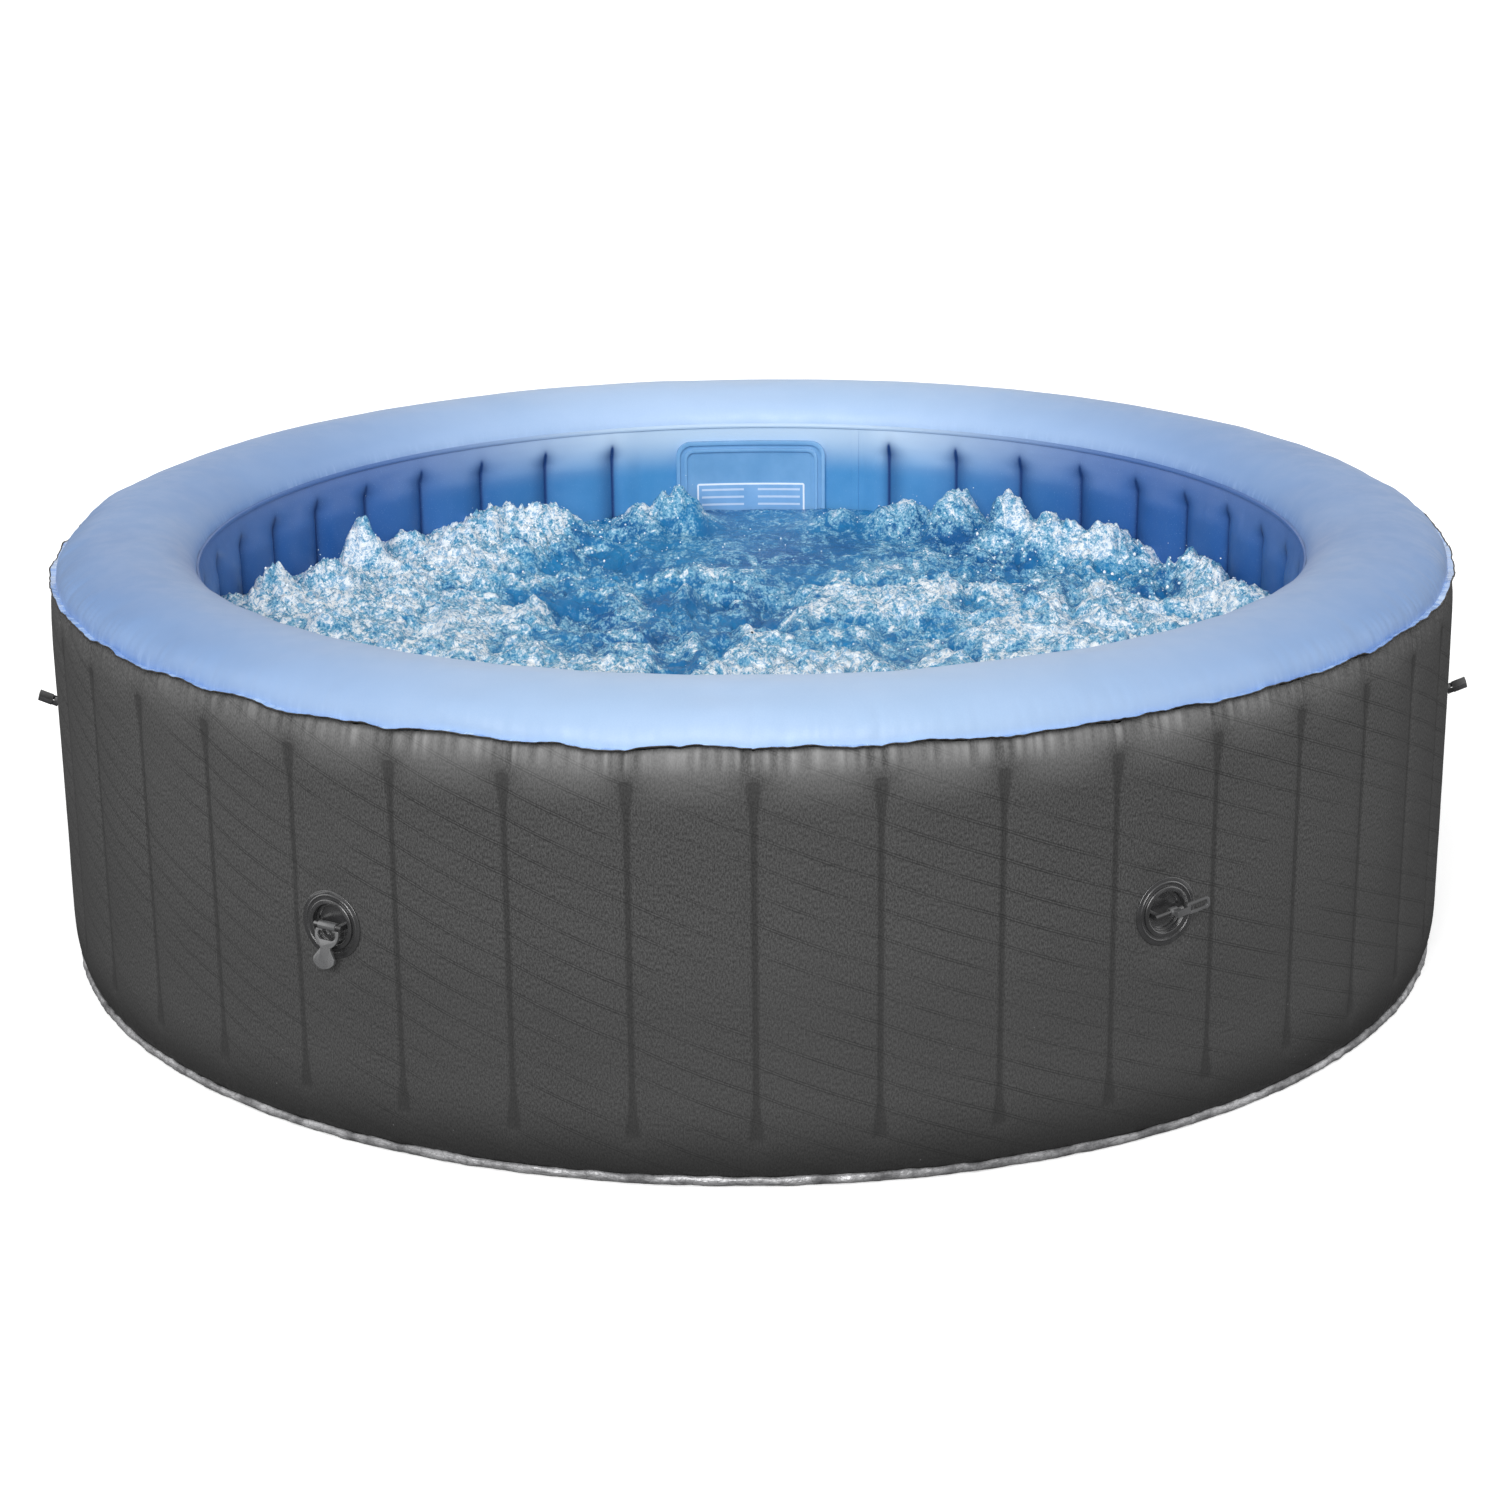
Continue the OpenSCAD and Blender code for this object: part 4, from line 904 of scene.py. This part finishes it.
# Finishes that need no pattern of their own: dark and light colour, roughness, and any other settings
PLAIN = {
    "beam_web": ((0.10, 0.11, 0.13), (0.14, 0.15, 0.17), 0.6, {}),
    "panel_skin": ((0.145, 0.345, 0.605), (0.185, 0.395, 0.665), 0.38, {"scale": 18.0}),
    "white_plastic": ((0.72, 0.73, 0.74), (0.80, 0.81, 0.82), 0.35, {}),
    "valve_pvc": ((0.024, 0.024, 0.025), (0.040, 0.040, 0.042), 0.24,
                  {"Specular_IOR_Level": 1.0, "Coat_Weight": 1.0, "Coat_Roughness": 0.17, "Coat_IOR": 1.8}),
    "tab_grey": ((0.086, 0.087, 0.089), (0.112, 0.113, 0.116), 0.30,
                 {"Specular_IOR_Level": 0.9, "Coat_Weight": 1.0, "Coat_Roughness": 0.12}),
    "dark_plastic": ((0.028, 0.028, 0.030), (0.045, 0.045, 0.048), 0.42, {}),
    "seal_rubber": ((0.012, 0.012, 0.012), (0.025, 0.025, 0.025), 0.7, {}),
    "steel": ((0.50, 0.50, 0.51), (0.62, 0.62, 0.63), 0.28, {"scale": 60.0, "Metallic": 1.0}),
    "filter_paper": ((0.74, 0.76, 0.80), (0.84, 0.85, 0.87), 0.85, {"scale": 60.0}),
    "hose_rubber": ((0.030, 0.031, 0.033), (0.050, 0.051, 0.054), 0.55, {}),
    "motor_paint": ((0.08, 0.11, 0.16), (0.11, 0.14, 0.20), 0.35, {"scale": 30.0}),
    "circuit_green": ((0.015, 0.11, 0.045), (0.03, 0.16, 0.07), 0.4, {"scale": 90.0}),
    "case_grey": ((0.16, 0.165, 0.17), (0.20, 0.205, 0.21), 0.5, {}),
}


def make_materials():
    """The finish of every material slot of the record, and of the pieces that Blender adds."""
    materials = {
        "wall_skin": wall_skin_finish(),
        "rim_skin": rim_skin_finish(),
        "basin_skin": basin_skin_finish(),
        "weld_edge": weld_edge_finish(),
        "weld_backing_and_shadow": weld_backing_and_shadow_finish(),
        "mat_foil": foil_finish(),
        "water": water_finish(),
        "spray": spray_finish(),
        "webbing": webbing_finish(),
        "notice_white": notice_finish(),
    }
    for name, (dark, light, roughness, extra) in PLAIN.items():
        materials[name] = plain_finish(name, dark, light, roughness, **extra)
    return materials


# ---- CAD nodes ----

# Hard or moulded nodes whose edges are rounded off, and by how many millimetres
SOFT_EDGES = {
    "left_valve_flange": 0.6, "left_valve_body": 2.6, "left_valve_cap": 1.6, "left_pull_tab": 1.4,
    "right_valve_flange": 0.6, "right_valve_body": 2.6, "right_valve_cap": 1.6, "right_pull_tab": 1.2,
    "left_clip_patch": 0.7, "left_clip_strap": 0.6, "left_clip_buckle": 0.9,
    "right_clip_patch": 0.7, "right_clip_strap": 0.6, "right_clip_buckle": 0.9,
    "equipment_panel": 2.2, "notice_plate": 0.8, "filter_cover": 1.2, "return_fitting": 0.9,
    "drain_pipe": 0.7, "drain_plug": 0.7, "drain_cap": 0.8, "rear_cover": 1.6, "cable_gland": 0.6,
}


def round_edges(node, width):
    """Stands in for a CAD node: the same shape with its sharp edges rounded off."""
    shape = bmesh.new()
    shape.from_mesh(NODES[node].data)
    bmesh.ops.remove_doubles(shape, verts=shape.verts, dist=0.001 * MM)
    bmesh.ops.dissolve_limit(shape, angle_limit=math.radians(0.1), verts=shape.verts, edges=shape.edges)
    mesh = bpy.data.meshes.new(node + "_round")
    shape.to_mesh(mesh)
    shape.free()
    obj = bpy.data.objects.new(node + "_round", mesh)
    bpy.context.scene.collection.objects.link(obj)
    bevel = obj.modifiers.new("edges", "BEVEL")
    bevel.width, bevel.segments, bevel.harden_normals = width * MM, 3, True
    bevel.limit_method, bevel.angle_limit = "ANGLE", math.radians(40)
    mesh.polygons.foreach_set("use_smooth", np.full(len(mesh.polygons), True))
    depsgraph = bpy.context.evaluated_depsgraph_get()
    obj.data = bpy.data.meshes.new_from_object(obj.evaluated_get(depsgraph))
    obj.modifiers.clear()
    slot = next(part["material_slot"] for part in frame["record"]["subparts"] if part["node"] == node)
    obj.data.materials.clear()
    obj.data.materials.append(MATERIALS[slot])
    bodies = frame["record"]["behaviour"]["bodies"]
    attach(obj, next(body for body, nodes in bodies.items() if node in nodes))
    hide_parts(node)


def dress_cad_nodes():
    """Every CAD node takes the finish of its material slot."""
    for part in frame["record"]["subparts"]:
        mesh = NODES[part["node"]].data
        mesh.materials.clear()
        mesh.materials.append(MATERIALS[part["material_slot"]])


# ---- stage ----

# The camera that fits the photograph: metres and radians, then its focal length, the width of the
# picture and where the tub's axis falls across it, in pixels of the 1500x1500 picture
CAMERA_DISTANCE, CAMERA_PITCH, CAMERA_ROLL = 4.742, 0.3149, -0.009
LOOK_AT_Z = 0.23676
FOCAL_PX, FRAME_PX, AXIS_PX = 3135.0, 1500, 753.19


def add_camera():
    """The photograph's viewpoint, with the small shift of its framing."""
    data = bpy.data.cameras.new("camera")
    data.sensor_width = 36
    data.lens = data.sensor_width * FOCAL_PX / FRAME_PX
    data.shift_x = (FRAME_PX / 2 - AXIS_PX) / FRAME_PX
    camera = bpy.data.objects.new("camera", data)
    camera.location = (0, -CAMERA_DISTANCE * math.cos(CAMERA_PITCH),
                       LOOK_AT_Z + CAMERA_DISTANCE * math.sin(CAMERA_PITCH))
    look = Euler((math.pi / 2 - CAMERA_PITCH, 0, 0)).to_matrix()
    camera.rotation_euler = (look @ Matrix.Rotation(CAMERA_ROLL, 3, "Z")).to_euler()
    bpy.context.scene.collection.objects.link(camera)
    bpy.context.scene.camera = camera


def add_sun(name, direction, power, spread):
    """A very large soft light far away, shining from that direction."""
    data = bpy.data.lights.new(name, "SUN")
    data.energy = power
    data.angle = math.radians(spread)
    light = bpy.data.objects.new(name, data)
    light.rotation_euler = Vector(direction).to_track_quat("Z", "Y").to_euler()
    bpy.context.scene.collection.objects.link(light)


def add_surroundings():
    """Bright above the horizon and in front, darker below and behind, plain white to the camera itself."""
    world = bpy.data.worlds.new("studio")
    world.use_nodes = True
    tree = world.node_tree
    coords = tree.nodes.new("ShaderNodeTexCoord")
    split = tree.nodes.new("ShaderNodeSeparateXYZ")
    ramp = tree.nodes.new("ShaderNodeMapRange")
    set_range(ramp, -0.25, 0.15, 0.10, 0.46)
    front = tree.nodes.new("ShaderNodeMapRange")
    set_range(front, -1.0, 1.0, 1.30, 0.62)
    lit = tree.nodes.new("ShaderNodeMath")
    lit.operation = "MULTIPLY"
    path = tree.nodes.new("ShaderNodeLightPath")
    bright = tree.nodes.new("ShaderNodeMath")
    bright.operation = "MAXIMUM"
    tree.links.new(coords.outputs["Generated"], split.inputs[0])
    tree.links.new(split.outputs["Z"], ramp.inputs["Value"])
    tree.links.new(split.outputs["Y"], front.inputs["Value"])
    tree.links.new(ramp.outputs["Result"], lit.inputs[0])
    tree.links.new(front.outputs["Result"], lit.inputs[1])
    tree.links.new(lit.outputs[0], bright.inputs[0])
    tree.links.new(path.outputs["Is Camera Ray"], bright.inputs[1])
    tree.links.new(bright.outputs[0], tree.nodes["Background"].inputs["Strength"])
    tree.nodes["Background"].inputs["Color"].default_value = (1, 1, 1, 1)
    bpy.context.scene.world = world


def add_floor():
    """A white floor that glows a little, so that it stays white, and doesn't light the tub."""
    side = 30.0
    corners = np.array([[-side, -side, 0], [side, -side, 0], [side, side, 0], [-side, side, 0]])
    floor, _ = make_object("floor", corners, np.array([[0, 1, 2, 3]]), smooth=False)
    finish = Finish("floor", (0.9, 0.9, 0.9), 0.9, Specular_IOR_Level=0.0,
                    Emission_Color=(1, 1, 1, 1), Emission_Strength=0.35)
    finish.color(finish.mix(finish.noise(2.0), (0.92, 0.92, 0.92), (0.94, 0.94, 0.94)))
    floor.data.materials.append(finish.material)
    floor.visible_diffuse = floor.visible_glossy = False


def add_stage():
    """White floor and surroundings, and four soft suns: the key in front, one at each side, one behind."""
    add_surroundings()
    add_floor()
    add_sun("key", (-0.12, -0.85, 0.50), 2.5, 40)
    add_sun("left", (-0.96, 0.10, 0.26), 0.75, 60)
    add_sun("right", (0.96, 0.10, 0.26), 0.80, 60)
    add_sun("back", (0.10, 0.92, 0.30), 0.38, 60)
    bpy.context.scene.view_settings.view_transform = "Standard"


# ---- build ----

add_camera()
MATERIALS = make_materials()
dress_cad_nodes()
for soft_node, edge_width in SOFT_EDGES.items():
    round_edges(soft_node, edge_width)
outer_wall_skin()
rim_tube()
welded_edge()
basin_skin()
ground_mat_foil()
water_surface()
spray()
add_stage()
